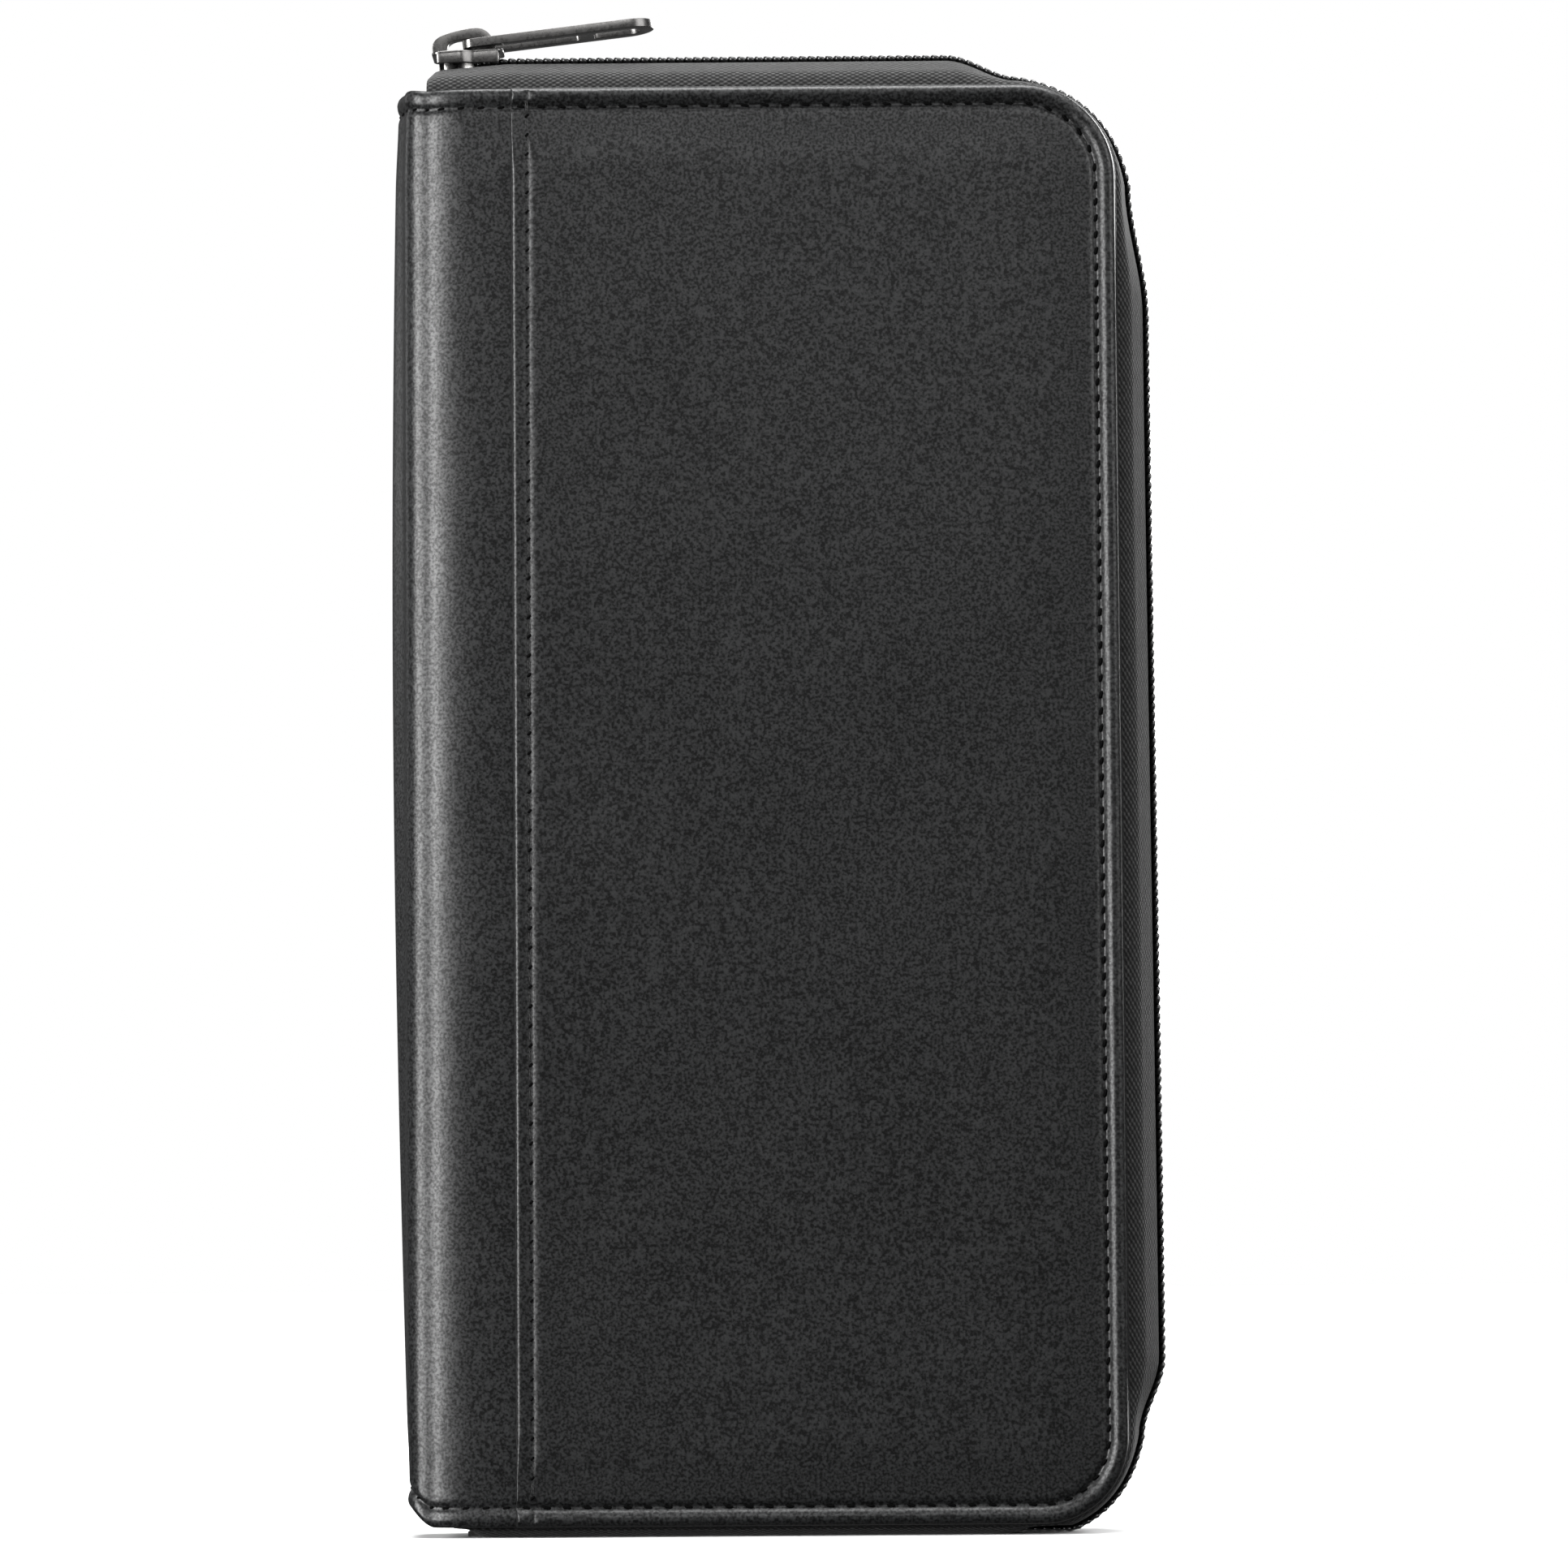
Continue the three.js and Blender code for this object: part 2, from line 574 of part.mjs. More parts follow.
// The pull is a flat frame with two windows, drawn along +X from its hinge bar.
const PULL_LENGTH = 30;
const PULL_HALF_WIDTH = 4;
const PULL_THICKNESS = 1.3;
const PULL_BAR = 1.2; // bar inside the bail
const PULL_NEAR_RADIUS = 1.6;
const WINDOW_HALF_WIDTH = 2.1;
const WINDOW_NEAR_RADIUS = 0.8;
const SLOT_END_X = 17.8;
const WINDOW_FROM_X = 20;
const WINDOW_TO_X = 27.4;
const WINDOW_FAR_RADIUS = 1.9;

function windowPath(fromX, toX, farRadius) {
  const path = new THREE.Path();
  const near = WINDOW_NEAR_RADIUS;
  path.moveTo(fromX + near, -WINDOW_HALF_WIDTH);
  path.absarc(toX - farRadius, -(WINDOW_HALF_WIDTH - farRadius), farRadius, -Math.PI / 2, 0);
  path.absarc(toX - farRadius, WINDOW_HALF_WIDTH - farRadius, farRadius, 0, Math.PI / 2);
  path.absarc(fromX + near, WINDOW_HALF_WIDTH - near, near, Math.PI / 2, Math.PI);
  path.absarc(fromX + near, -(WINDOW_HALF_WIDTH - near), near, Math.PI, 1.5 * Math.PI);
  return path;
}

function pullTab() {
  const nearRadius = PULL_NEAR_RADIUS;
  const shape = new THREE.Shape();
  const left = -PULL_BAR / 2;
  const right = left + PULL_LENGTH;
  shape.moveTo(left + nearRadius, -PULL_HALF_WIDTH);
  shape.absarc(right - PULL_HALF_WIDTH, 0, PULL_HALF_WIDTH, -Math.PI / 2, Math.PI / 2);
  shape.absarc(left + nearRadius, PULL_HALF_WIDTH - nearRadius, nearRadius, Math.PI / 2, Math.PI);
  shape.absarc(left + nearRadius, nearRadius - PULL_HALF_WIDTH, nearRadius, Math.PI, 1.5 * Math.PI);
  shape.holes.push(
    windowPath(PULL_BAR / 2, SLOT_END_X, WINDOW_NEAR_RADIUS),
    windowPath(WINDOW_FROM_X, WINDOW_TO_X, WINDOW_FAR_RADIUS),
  );
  return flatExtrusion(shape, -PULL_THICKNESS / 2, PULL_THICKNESS / 2);
}

// ---- Inside ----

// Card pockets in two banks, one above the other, with their mouths towards the zip.
const CARD_MOUTH_X = 44;
const CARD_STEP = 12;
const CARD_LEFT_X = -46;
const CARD_BANK_HEIGHT = 95;
const CARD_BANK_BOTTOM_Z = [14, 115];
const SLOTS_IN_BANK = 4;
const POCKET_SHEET = 0.6;
const POCKET_CORNER = 2;

// Flat pockets, each with its mouth towards the zip.
const BILL_MOUTH_X = 43;
const PASSPORT_MOUTH_X = 22;
const TICKET_MOUTH_X = 4;
const CARD_PAGE_RIGHT_X = 47.5;
const PAGE_MARGIN = 5; // covers' ends to the full-height pockets
const POCKET_MARGIN = 8;
const PASSPORT_HEIGHT = 120;
const POCKET_SPACING = 6; // between the passport and ticket pockets

function cardSlot(bank, index) {
  const bottom = CARD_BANK_BOTTOM_Z[bank];
  const outerY = PAGE_Y - (index + 1) * (POCKET_SHEET + LAYER_GAP);
  const shape = rectangleShape(
    CARD_LEFT_X, CARD_MOUTH_X - index * CARD_STEP, bottom, bottom + CARD_BANK_HEIGHT, POCKET_CORNER,
  );
  return plate(shape, -1, outerY, outerY - POCKET_SHEET, 4);
}

function pagePocket(side, right, bottom, top, layer) {
  const outerY = PAGE_Y - layer * (POCKET_SHEET + LAYER_GAP);
  const shape = rectangleShape(PAGE_LEFT_X, right, bottom, top, POCKET_CORNER);
  return plate(shape, side, outerY, outerY - POCKET_SHEET, 4);
}

// ---- Assembly ----

for (const [side, name] of [[1, 'back'], [-1, 'front']]) {
  addPart(`${name}_leather`, coverLeather(side), leatherLook);
  addPart(`${name}_board`, coverBoard(side), boardLook);
  addPart(`${name}_lining`, coverLining(side), liningLook);
  addPart(`spine_flap_${name}`, spineFlap(side), leatherLook);
  addPart(`zip_tape_${name}`, zipTape(side), tapeLook);
  addPart(`zip_coil_${name}`, zipCoil(side), coilLook);
  addPart(`zip_bottom_stop_${name}`, bottomStop(side), metalLook);
}

addPart('spine_leather', spineLeather(), leatherLook);
addPart('spine_board', spineStrip(SPINE_BOARD_X, BOARD, SPINE_BOARD_HALF), boardLook);
addPart('spine_lining', spineStrip(SPINE_LINING_X, LINING, SPINE_LINING_HALF), liningLook);

const passportTop = BOTTOM_Z + POCKET_MARGIN + PASSPORT_HEIGHT;
const pageBottom = BOTTOM_Z + PAGE_MARGIN;
const pageTop = TOP_Z - PAGE_MARGIN;
addPart('bill_pocket', pagePocket(1, BILL_MOUTH_X, pageBottom, pageTop, 0), liningLook);
addPart(
  'passport_pocket',
  pagePocket(1, PASSPORT_MOUTH_X, BOTTOM_Z + POCKET_MARGIN, passportTop, 1),
  liningLook,
);
addPart(
  'ticket_pocket',
  pagePocket(1, TICKET_MOUTH_X, passportTop + POCKET_SPACING, TOP_Z - POCKET_MARGIN, 1),
  liningLook,
);
addPart('card_backing', pagePocket(-1, CARD_PAGE_RIGHT_X, pageBottom, pageTop, 0), liningLook);
for (const bank of CARD_BANK_BOTTOM_Z.keys()) {
  for (let index = 0; index < SLOTS_IN_BANK; index += 1) {
    addPart(`card_slot_${bank * SLOTS_IN_BANK + index + 1}`, cardSlot(bank, index), liningLook);
  }
}

const slider = new THREE.Group();
slider.position.set(SLIDER_NOSE_X, 0, SLIDER_NOSE_Z);
slider.rotation.y = -SLIDER_TILT;
slider.add(addPart('slider_body', sliderBody(), metalLook));
slider.add(addPart('slider_bail', sliderBail(), metalLook));
const pull = addPart('pull_tab', pullTab(), metalLook);
pull.position.set(PULL_PIVOT.x, 0, PULL_PIVOT.y);
pull.rotation.y = SLIDER_TILT - PULL_TILT;
slider.add(pull);
wallet.add(slider);

export default wallet;
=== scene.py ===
import json
import math

import bmesh
import bpy
import numpy as np
from mathutils import Matrix, Vector


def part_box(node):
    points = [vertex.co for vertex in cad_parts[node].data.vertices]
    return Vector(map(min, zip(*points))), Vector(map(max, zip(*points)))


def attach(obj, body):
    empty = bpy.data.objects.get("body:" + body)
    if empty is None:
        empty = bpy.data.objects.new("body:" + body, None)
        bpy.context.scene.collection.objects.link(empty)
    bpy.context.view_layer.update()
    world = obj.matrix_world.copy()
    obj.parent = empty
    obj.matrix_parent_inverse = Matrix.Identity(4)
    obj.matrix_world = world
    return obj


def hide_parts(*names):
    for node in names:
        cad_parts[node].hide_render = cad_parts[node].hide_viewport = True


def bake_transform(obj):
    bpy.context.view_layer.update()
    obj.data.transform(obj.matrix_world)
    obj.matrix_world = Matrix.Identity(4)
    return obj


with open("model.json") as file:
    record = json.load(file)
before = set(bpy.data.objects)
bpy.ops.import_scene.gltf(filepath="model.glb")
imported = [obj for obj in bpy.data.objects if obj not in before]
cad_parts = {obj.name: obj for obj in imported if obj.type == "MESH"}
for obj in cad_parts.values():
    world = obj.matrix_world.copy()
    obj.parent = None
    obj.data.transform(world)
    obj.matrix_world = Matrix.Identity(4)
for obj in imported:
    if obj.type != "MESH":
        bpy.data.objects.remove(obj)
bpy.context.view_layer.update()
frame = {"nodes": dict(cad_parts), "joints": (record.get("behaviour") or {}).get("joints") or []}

MM = 0.001

# ---- Places read from the frame, in millimetres ----


def box_mm(node):
    low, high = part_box(node)
    return np.array(low) / MM, np.array(high) / MM


LEATHER_LOW, LEATHER_HIGH = box_mm("front_leather")
SEAM_X, COVER_RIGHT_X = LEATHER_LOW[0], LEATHER_HIGH[0]
BOTTOM_Z, TOP_Z = LEATHER_LOW[2], LEATHER_HIGH[2]
FACE_Y = -LEATHER_LOW[1]
TURNED_Y = -LEATHER_HIGH[1]  # inner side of the cover leather's turned edge
FLAP_LOW = box_mm("spine_flap_front")[0]
FLAP_Y = -FLAP_LOW[1]  # outside of the spine leather on a cover
SPINE_JOINT = next(j for j in frame["joints"] if j["name"] == "spine_fold")
FOLD_X, FOLD_Y = SPINE_JOINT["pos_m"][0] / MM, SPINE_JOINT["pos_m"][1] / MM
SPINE_CORNER_RADIUS = 5
SPINE_FLAT_X = FOLD_X - (FLAP_Y - FOLD_Y)
SPINE_BOW = SPINE_FLAT_X - box_mm("spine_leather")[0][0]
PAGE_LEFT_X = box_mm("front_lining")[0][0]
LINING_Y = -box_mm("front_lining")[0][1]

# ---- Sizes of the looks, in millimetres ----
TOP_CORNER_RADIUS = 14.7
BOTTOM_CORNER_RADIUS = 13.2
EDGE_ROUND = 1.35
STITCH_INSET = 3.0
GROOVE_DEPTH = 0.5
CROWN_DROP = 0.42
CROWN_WIDTH = 12
END_PITCH = 3.1  # stitches along the short edges
SIDE_PITCH = 2.55
SEAM_PITCH = 3.0
SEAM_STITCH_INSET = 2.5
LEATHER_SHEET = 0.7
COIL_PITCH = 1.38
CUT_EDGE_ANGLE = math.radians(60)  # edges sharper than this are shaded sharp


def smooth(t):
    t = np.clip(t, 0, 1)
    return t * t * (3 - 2 * t)


def spread(start, end, step):
    count = max(1, int(round(abs(end - start) / step)))
    return np.linspace(start, end, count + 1)


def joined(*runs):
    """One rising list of places from runs that share their ends."""
    return np.concatenate([runs[0]] + [run[1:] for run in runs[1:]])


# ---- Mesh helpers ----


def add_mesh(name, points_mm, faces, material, smooth_shading=True):
    mesh = bpy.data.meshes.new(name)
    mesh.from_pydata((np.asarray(points_mm) * MM).tolist(), [], [list(map(int, f)) for f in faces])
    mesh.validate()
    mesh.update()
    obj = bpy.data.objects.new(name, mesh)
    bpy.context.scene.collection.objects.link(obj)
    obj.data.materials.append(material)
    if smooth_shading:
        mesh.polygons.foreach_set("use_smooth", [True] * len(mesh.polygons))
    return obj


def grid_faces(rows, columns, wrap_columns=False, start=0):
    """Quads over a grid of points stored row by row."""
    across = columns if wrap_columns else columns - 1
    i, j = np.meshgrid(np.arange(rows - 1), np.arange(across), indexing="ij")
    a = start + i * columns + j
    b = start + i * columns + (j + 1) % columns
    return np.stack([a, b, b + columns, a + columns], axis=-1).reshape(-1, 4)


def swept_faces(rows, columns):
    """Faces of a solid swept along its rows of points. A row runs along one side of the
    section and back along the other, so quads between the two close both ends."""
    faces = grid_faces(rows, columns, wrap_columns=True).tolist()
    last = (rows - 1) * columns
    for near in range(columns // 2 - 1):
        far = columns - 1 - near
        faces.append([far, far - 1, near + 1, near])
        faces.append([last + near, last + near + 1, last + far - 1, last + far])
    return faces


def set_vector_attribute(obj, name, values):
    attribute = obj.data.attributes.new(name, "FLOAT_VECTOR", "POINT")
    attribute.data.foreach_set("vector", np.asarray(values, dtype=np.float32).ravel())


def face_outwards(obj):
    work = bmesh.new()
    work.from_mesh(obj.data)
    bmesh.ops.recalc_face_normals(work, faces=work.faces)
    work.to_mesh(obj.data)
    work.free()


def add_modifier(obj, kind, **settings):
    modifier = obj.modifiers.new(kind.title(), kind)
    for key, value in settings.items():
        setattr(modifier, key, value)
    return modifier


def bevel_edges(obj, width, segments, sharper_than):
    """Rounds the edges that turn by more than an angle in degrees, by a width in millimetres."""
    limit = math.radians(sharper_than)
    add_modifier(obj, "BEVEL", width=width * MM, segments=segments, limit_method="ANGLE", angle_limit=limit)


def apply_modifiers(obj):
    """Makes the modifiers' result the mesh, with its cut edges shaded sharp."""
    depsgraph = bpy.context.evaluated_depsgraph_get()
    mesh = bpy.data.meshes.new_from_object(obj.evaluated_get(depsgraph))
    obj.modifiers.clear()
    obj.data = mesh
    mesh.set_sharp_from_angle(angle=CUT_EDGE_ANGLE)


# ---- Materials ----


class Nodes:
    """Short calls for building a node material."""

    def __init__(self, name):
        self.material = bpy.data.materials.new(name)
        self.material.use_nodes = True
        self.tree = self.material.node_tree
        self.shader = self.tree.nodes["Principled BSDF"]
        self.coordinates = self.tree.nodes.new("ShaderNodeTexCoord").outputs["Object"]

    def add(self, kind, **settings):
        node = self.tree.nodes.new(kind)
        for key, value in settings.items():
            setattr(node, key, value)
        return node

    def link(self, source, target):
        self.tree.links.new(source, target)

    def put(self, socket, value):
        if isinstance(value, bpy.types.NodeSocket):
            self.link(value, socket)
        else:
            socket.default_value = value

    def noise(self, scale, detail=2, roughness=0.5, vector=None):
        node = self.add("ShaderNodeTexNoise")
        self.link(vector or self.coordinates, node.inputs["Vector"])
        node.inputs["Scale"].default_value = scale
        node.inputs["Detail"].default_value = detail
        node.inputs["Roughness"].default_value = roughness
        return node.outputs["Fac"]

    def math(self, operation, a, b=0.0, clamp=False):
        node = self.add("ShaderNodeMath", operation=operation, use_clamp=clamp)
        self.put(node.inputs[0], a)
        self.put(node.inputs[1], b)
        return node.outputs[0]

    def ramp(self, value, low, high, out_low=0.0, out_high=1.0):
        node = self.add("ShaderNodeMapRange")
        self.put(node.inputs["Value"], value)
        node.inputs["From Min"].default_value = low
        node.inputs["From Max"].default_value = high
        node.inputs["To Min"].default_value = out_low
        node.inputs["To Max"].default_value = out_high
        return node.outputs["Result"]

    def mix(self, factor, a, b):
        node = self.add("ShaderNodeMix", data_type="RGBA")
        self.put(node.inputs["Factor"], factor)
        self.put(node.inputs["A"], a)
        self.put(node.inputs["B"], b)
        return node.outputs["Result"]

    def attribute(self, name, output="Fac"):
        return self.add("ShaderNodeAttribute", attribute_name=name).outputs[output]

    def bump(self, height, strength, distance_mm, normal=None):
        node = self.add("ShaderNodeBump")
        node.inputs["Strength"].default_value = strength
        node.inputs["Distance"].default_value = distance_mm * MM
        self.link(height, node.inputs["Height"])
        if normal is not None:
            self.link(normal, node.inputs["Normal"])
        return node.outputs["Normal"]

    def finish(self, color=None, roughness=None, normal=None, **constants):
        if color is not None:
            self.put(self.shader.inputs["Base Color"], color)
        if roughness is not None:
            self.put(self.shader.inputs["Roughness"], roughness)
        if normal is not None:
            self.link(normal, self.shader.inputs["Normal"])
        for key, value in constants.items():
            self.shader.inputs[key.replace("_", " ")].default_value = value
        return self.material


def grey(level, warmth=0.0):
    return (level * (1 + warmth), level, level * (1 - warmth), 1.0)


GRAIN_SCALE = 2300  # leather pebbles per metre, roughly


def leather_material(name, level=0.006, roughness=0.4, grain=1.0):
    """Fine grained leather: small pebbles that differ in tone and shine, over soft unevenness."""
    nodes = Nodes(name)
    pebbles = nodes.noise(GRAIN_SCALE, 1, 0.5)
    broad = nodes.noise(45, 3)
    normal = nodes.bump(nodes.noise(160, 2), 0.3, 0.35)
    normal = nodes.bump(pebbles, grain, 0.02, normal)
    raised = nodes.ramp(pebbles, 0.36, 0.66)
    color = nodes.mix(raised, grey(level * 0.35, -0.03), grey(level * 3, -0.03))
    roughness_here = nodes.ramp(broad, 0.3, 0.7, roughness + 0.03, roughness - 0.03)
    nodes.put(nodes.shader.inputs["Specular IOR Level"], nodes.ramp(raised, 0, 1, 0.26, 0.5))
    return nodes.finish(color, roughness_here, normal)


def weave_material(name, dark, light, thread_mm, bump_mm=0.09, roughness=0.85):
    """Plain weave on the cloth's own along and across directions, in millimetres. Its raised cells are
    painted lighter, a painted highlight on the yarns, in random patches.
    """
    nodes = Nodes(name)
    split = nodes.add("ShaderNodeSeparateXYZ")
    nodes.link(nodes.attribute("cloth", "Vector"), split.inputs[0])
    wobble = nodes.math("MULTIPLY", nodes.noise(900, 2), 0.5)
    along = nodes.math("ADD", split.outputs["X"], nodes.math("MULTIPLY", wobble, 0.5))
    across = nodes.math("ADD", split.outputs["Y"], nodes.math("MULTIPLY", wobble, 0.35))
    wave_a = nodes.math("SINE", nodes.math("MULTIPLY", along, math.pi / thread_mm))
    wave_b = nodes.math("SINE", nodes.math("MULTIPLY", across, math.pi / (thread_mm * 0.55)))
    cell = nodes.math("MULTIPLY", wave_a, wave_b)
    height = nodes.ramp(cell, -0.6, 0.9)
    lumps = nodes.math("ADD", height, nodes.math("MULTIPLY", nodes.noise(2400, 2), 0.5))
    normal = nodes.bump(lumps, 0.9, bump_mm)
    patchy = nodes.ramp(nodes.noise(1100, 2), 0.35, 0.65, 0.35, 1.0)
    # Raised weave cells are painted lighter, from dark to light: a painted highlight on the yarns, broken
    # into random patches.
    color = nodes.mix(nodes.math("MULTIPLY", height, patchy), grey(dark), grey(light))
    return nodes.finish(color, roughness, normal, Specular_IOR_Level=0.3, Sheen_Weight=0.15)


def lining_material(name, level=0.01):
    """Fine twill lining on the object's own directions."""
    nodes = Nodes(name)
    wave = nodes.add("ShaderNodeTexWave", wave_type="BANDS", bands_direction="DIAGONAL")
    nodes.link(nodes.coordinates, wave.inputs["Vector"])
    wave.inputs["Scale"].default_value = 420
    wave.inputs["Distortion"].default_value = 0.6
    grain = nodes.math("ADD", wave.outputs["Fac"], nodes.noise(1900, 2))
    color = nodes.mix(nodes.ramp(grain, 0.4, 1.4), grey(level * 0.6), grey(level * 1.5))
    normal = nodes.bump(grain, 0.5, 0.06)
    return nodes.finish(color, 0.8, normal, Specular_IOR_Level=0.3, Sheen_Weight=0.1)


def nylon_material(name):
    nodes = Nodes(name)
    drawn = nodes.noise(1500, 2)
    color = nodes.mix(drawn, grey(0.006), grey(0.014))
    roughness = nodes.ramp(drawn, 0.3, 0.7, 0.14, 0.26)
    drawn_marks = nodes.bump(drawn, 0.15, 0.03)
    return nodes.finish(color, roughness, drawn_marks, Coat_Weight=0.3, Coat_Roughness=0.12)


def metal_material(name, level=0.15, roughness=0.28):
    """Polished black nickel with fine casting marks."""
    nodes = Nodes(name)
    marks = nodes.noise(1800, 4, 0.7)
    clouds = nodes.noise(260, 2)
    color = nodes.mix(clouds, grey(level * 0.8, 0.02), grey(level * 1.2, 0.02))
    gloss = nodes.ramp(marks, 0.35, 0.75, roughness - 0.04, roughness + 0.12)
    return nodes.finish(color, gloss, nodes.bump(clouds, 0.12, 0.04), Metallic=1.0)


def thread_material(name, level, specular):
    nodes = Nodes(name)
    twist = nodes.add("ShaderNodeTexWave", wave_type="BANDS", bands_direction="DIAGONAL")
    nodes.link(nodes.coordinates, twist.inputs["Vector"])
    twist.inputs["Scale"].default_value = 900
    color = nodes.mix(twist.outputs["Fac"], grey(level * 0.6), grey(level * 1.6))
    strands = nodes.bump(twist.outputs["Fac"], 0.6, 0.05)
    return nodes.finish(color, 0.85, strands, Specular_IOR_Level=specular)


def board_material(name):
    nodes = Nodes(name)
    fibres = nodes.noise(600, 4, 0.7)
    color = nodes.mix(fibres, (0.30, 0.26, 0.21, 1), (0.42, 0.37, 0.30, 1))
    return nodes.finish(color, 0.9, nodes.bump(fibres, 0.4, 0.08))


def stage_material(name, level):
    nodes = Nodes(name)
    color = nodes.mix(nodes.noise(3, 2), grey(level), grey(level * 1.01))
    return nodes.finish(color, 0.9, None, Specular_IOR_Level=0.1)


LEATHER = leather_material("leather_grain")
SPINE_LEATHER = leather_material("spine_leather_grain", level=0.007, roughness=0.38, grain=0.8)
CARD_LEATHER = leather_material("card_leather_grain", level=0.008, roughness=0.5, grain=0.7)
# The tape's raised weave cells are painted up to 0.05: a painted highlight on its yarns.
TAPE_CLOTH = weave_material("zip_tape_weave", 0.002, 0.05, 0.62, bump_mm=0.16)
LINING_CLOTH = lining_material("lining_twill")
NYLON = nylon_material("coil_nylon")
METAL = metal_material("black_nickel")
# Black thread, darker than the leather: on the stitches this is partly painted shade of the slots they sink
# into. The coil's core cord uses it too.
BLACK_THREAD_AND_SLOT_SHADE = thread_material("thread_twist_in_slot_shade", level=0.0005, specular=0.08)
PALE_THREAD = thread_material("pale_thread_twist", level=0.03, specular=0.4)
BOARD_FIBRE = board_material("board_fibre")


# ---- Stitches ----


def stitch_marks(length, pitch):
    """Places of the needle holes along a run, in millimetres from its start."""
    count = max(1, int(round(length / pitch)))
    return (np.arange(count) + 0.5) * length / count


def thread_capsules(name, ends, material, radius):
    """Short thread lengths, each from one 3D end to the other, as one piece."""
    sides, rings = 8, 7
    points, faces = [], []
    for a, b in ends:
        axis = (b - a) / np.linalg.norm(b - a)
        helper = np.array([0.0, 1.0, 0.0]) if abs(axis[1]) < 0.9 else np.array([1.0, 0.0, 0.0])
        u = np.cross(axis, helper)
        u /= np.linalg.norm(u)
        v = np.cross(axis, u)
        start = len(points)
        for t in np.linspace(0, 1, rings):
            taper = 0.12 + 0.88 * math.sqrt(max(0.0, 1 - (2 * t - 1) ** 4))
            for k in range(sides):
                angle = 2 * math.pi * k / sides
                around = u * math.cos(angle) + v * math.sin(angle)
                points.append(a + (b - a) * t + radius * taper * around)
        faces += grid_faces(rings, sides, wrap_columns=True, start=start).tolist()
        faces.append(list(range(start, start + sides)))
        faces.append(list(range(start + (rings - 1) * sides, start + rings * sides))[::-1])
    obj = add_mesh(name, points, faces, material)
    face_outwards(obj)
    return obj


def slanted_ends(centre, direction, length, slant):
    """Both ends of a stitch on a flat face, turned by slant from the stitching line."""
    turned = np.array([
        direction[0] * math.cos(slant) - direction[1] * math.sin(slant),
        direction[0] * math.sin(slant) + direction[1] * math.cos(slant),
    ])
    return centre - turned * length / 2, centre + turned * length / 2


# ---- Cover leather ----

FINE_EDGE = joined(
    spread(0, 1.3, 0.13), spread(1.3, 2.3, 0.25), spread(2.3, 3.7, 0.14), spread(3.7, 6.1, 0.4),
)
INTERIOR_STEP = 1.05


def edged_places(low, high, fine_low=FINE_EDGE, fine_high=FINE_EDGE):
    """Places from low to high, closely spaced at both ends."""
    start = low + fine_low
    end = high - fine_high[::-1]
    return joined(start, spread(start[-1], end[0], INTERIOR_STEP), end)


def rounded_corners(x, z):
    """Moves a rectangle's grid points so that its two zip-side corners are round."""
    x, z = x.copy(), z.copy()
    for radius, centre_z, up in (
        (TOP_CORNER_RADIUS, TOP_Z - TOP_CORNER_RADIUS, 1),
        (BOTTOM_CORNER_RADIUS, BOTTOM_Z + BOTTOM_CORNER_RADIUS, -1),
    ):
        a = (x - (COVER_RIGHT_X - radius)) / radius
        b = up * (z - centre_z) / radius
        inside = (a > 0) & (b > 0)
        shrink = np.maximum(a, b)[inside] / np.hypot(a, b)[inside]
        x[inside] = COVER_RIGHT_X - radius + radius * a[inside] * shrink
        z[inside] = centre_z + up * radius * b[inside] * shrink
    return x, z


def rounded_fall(distance, radius):
    """How far a rounded edge falls away, at a distance in from its outermost line."""
    fall = radius - np.sqrt(np.maximum(0, radius ** 2 - (radius - distance) ** 2))
    return np.where(distance < radius, fall, 0)


def border_depth(d):
    """Depth below the face at distance d from the cover's edge: a rolled rim, then the
    stitched groove, then the crown that rises to the flat middle."""
    rolled = rounded_fall(d, EDGE_ROUND)
    slope = np.interp(d, [EDGE_ROUND, STITCH_INSET], [0.02, CROWN_DROP])
    crown = np.where(d < STITCH_INSET, slope, CROWN_DROP * (1 - smooth((d - STITCH_INSET) / CROWN_WIDTH)))
    groove = GROOVE_DEPTH * np.exp(-((d - STITCH_INSET) / 0.62) ** 2)
    return rolled + crown + groove


def border_path():
    """Points and directions of the needle holes along the cover's border."""
    inset = STITCH_INSET
    low_centre = np.array([COVER_RIGHT_X - BOTTOM_CORNER_RADIUS, BOTTOM_Z + BOTTOM_CORNER_RADIUS])
    high_centre = np.array([COVER_RIGHT_X - TOP_CORNER_RADIUS, TOP_Z - TOP_CORNER_RADIUS])
    low_radius, high_radius = BOTTOM_CORNER_RADIUS - inset, TOP_CORNER_RADIUS - inset
    marks = []
    for s in stitch_marks(low_centre[0] - SEAM_X, END_PITCH):
        marks.append(((SEAM_X + s, BOTTOM_Z + inset), (1, 0)))
    for s in stitch_marks(low_radius * math.pi / 2, SIDE_PITCH):
        angle = s / low_radius - math.pi / 2
        normal = np.array([math.cos(angle), math.sin(angle)])
        marks.append((low_centre + low_radius * normal, (-normal[1], normal[0])))
    for s in stitch_marks(high_centre[1] - low_centre[1], SIDE_PITCH):
        marks.append(((COVER_RIGHT_X - inset, low_centre[1] + s), (0, 1)))
    for s in stitch_marks(high_radius * math.pi / 2, END_PITCH):
        angle = s / high_radius
        normal = np.array([math.cos(angle), math.sin(angle)])
        marks.append((high_centre + high_radius * normal, (-normal[1], normal[0])))
    for s in stitch_marks(high_centre[0] - SEAM_X, END_PITCH):
        marks.append(((high_centre[0] - s, TOP_Z - inset), (-1, 0)))
    return np.array([m[0] for m in marks], float), np.array([m[1] for m in marks], float)


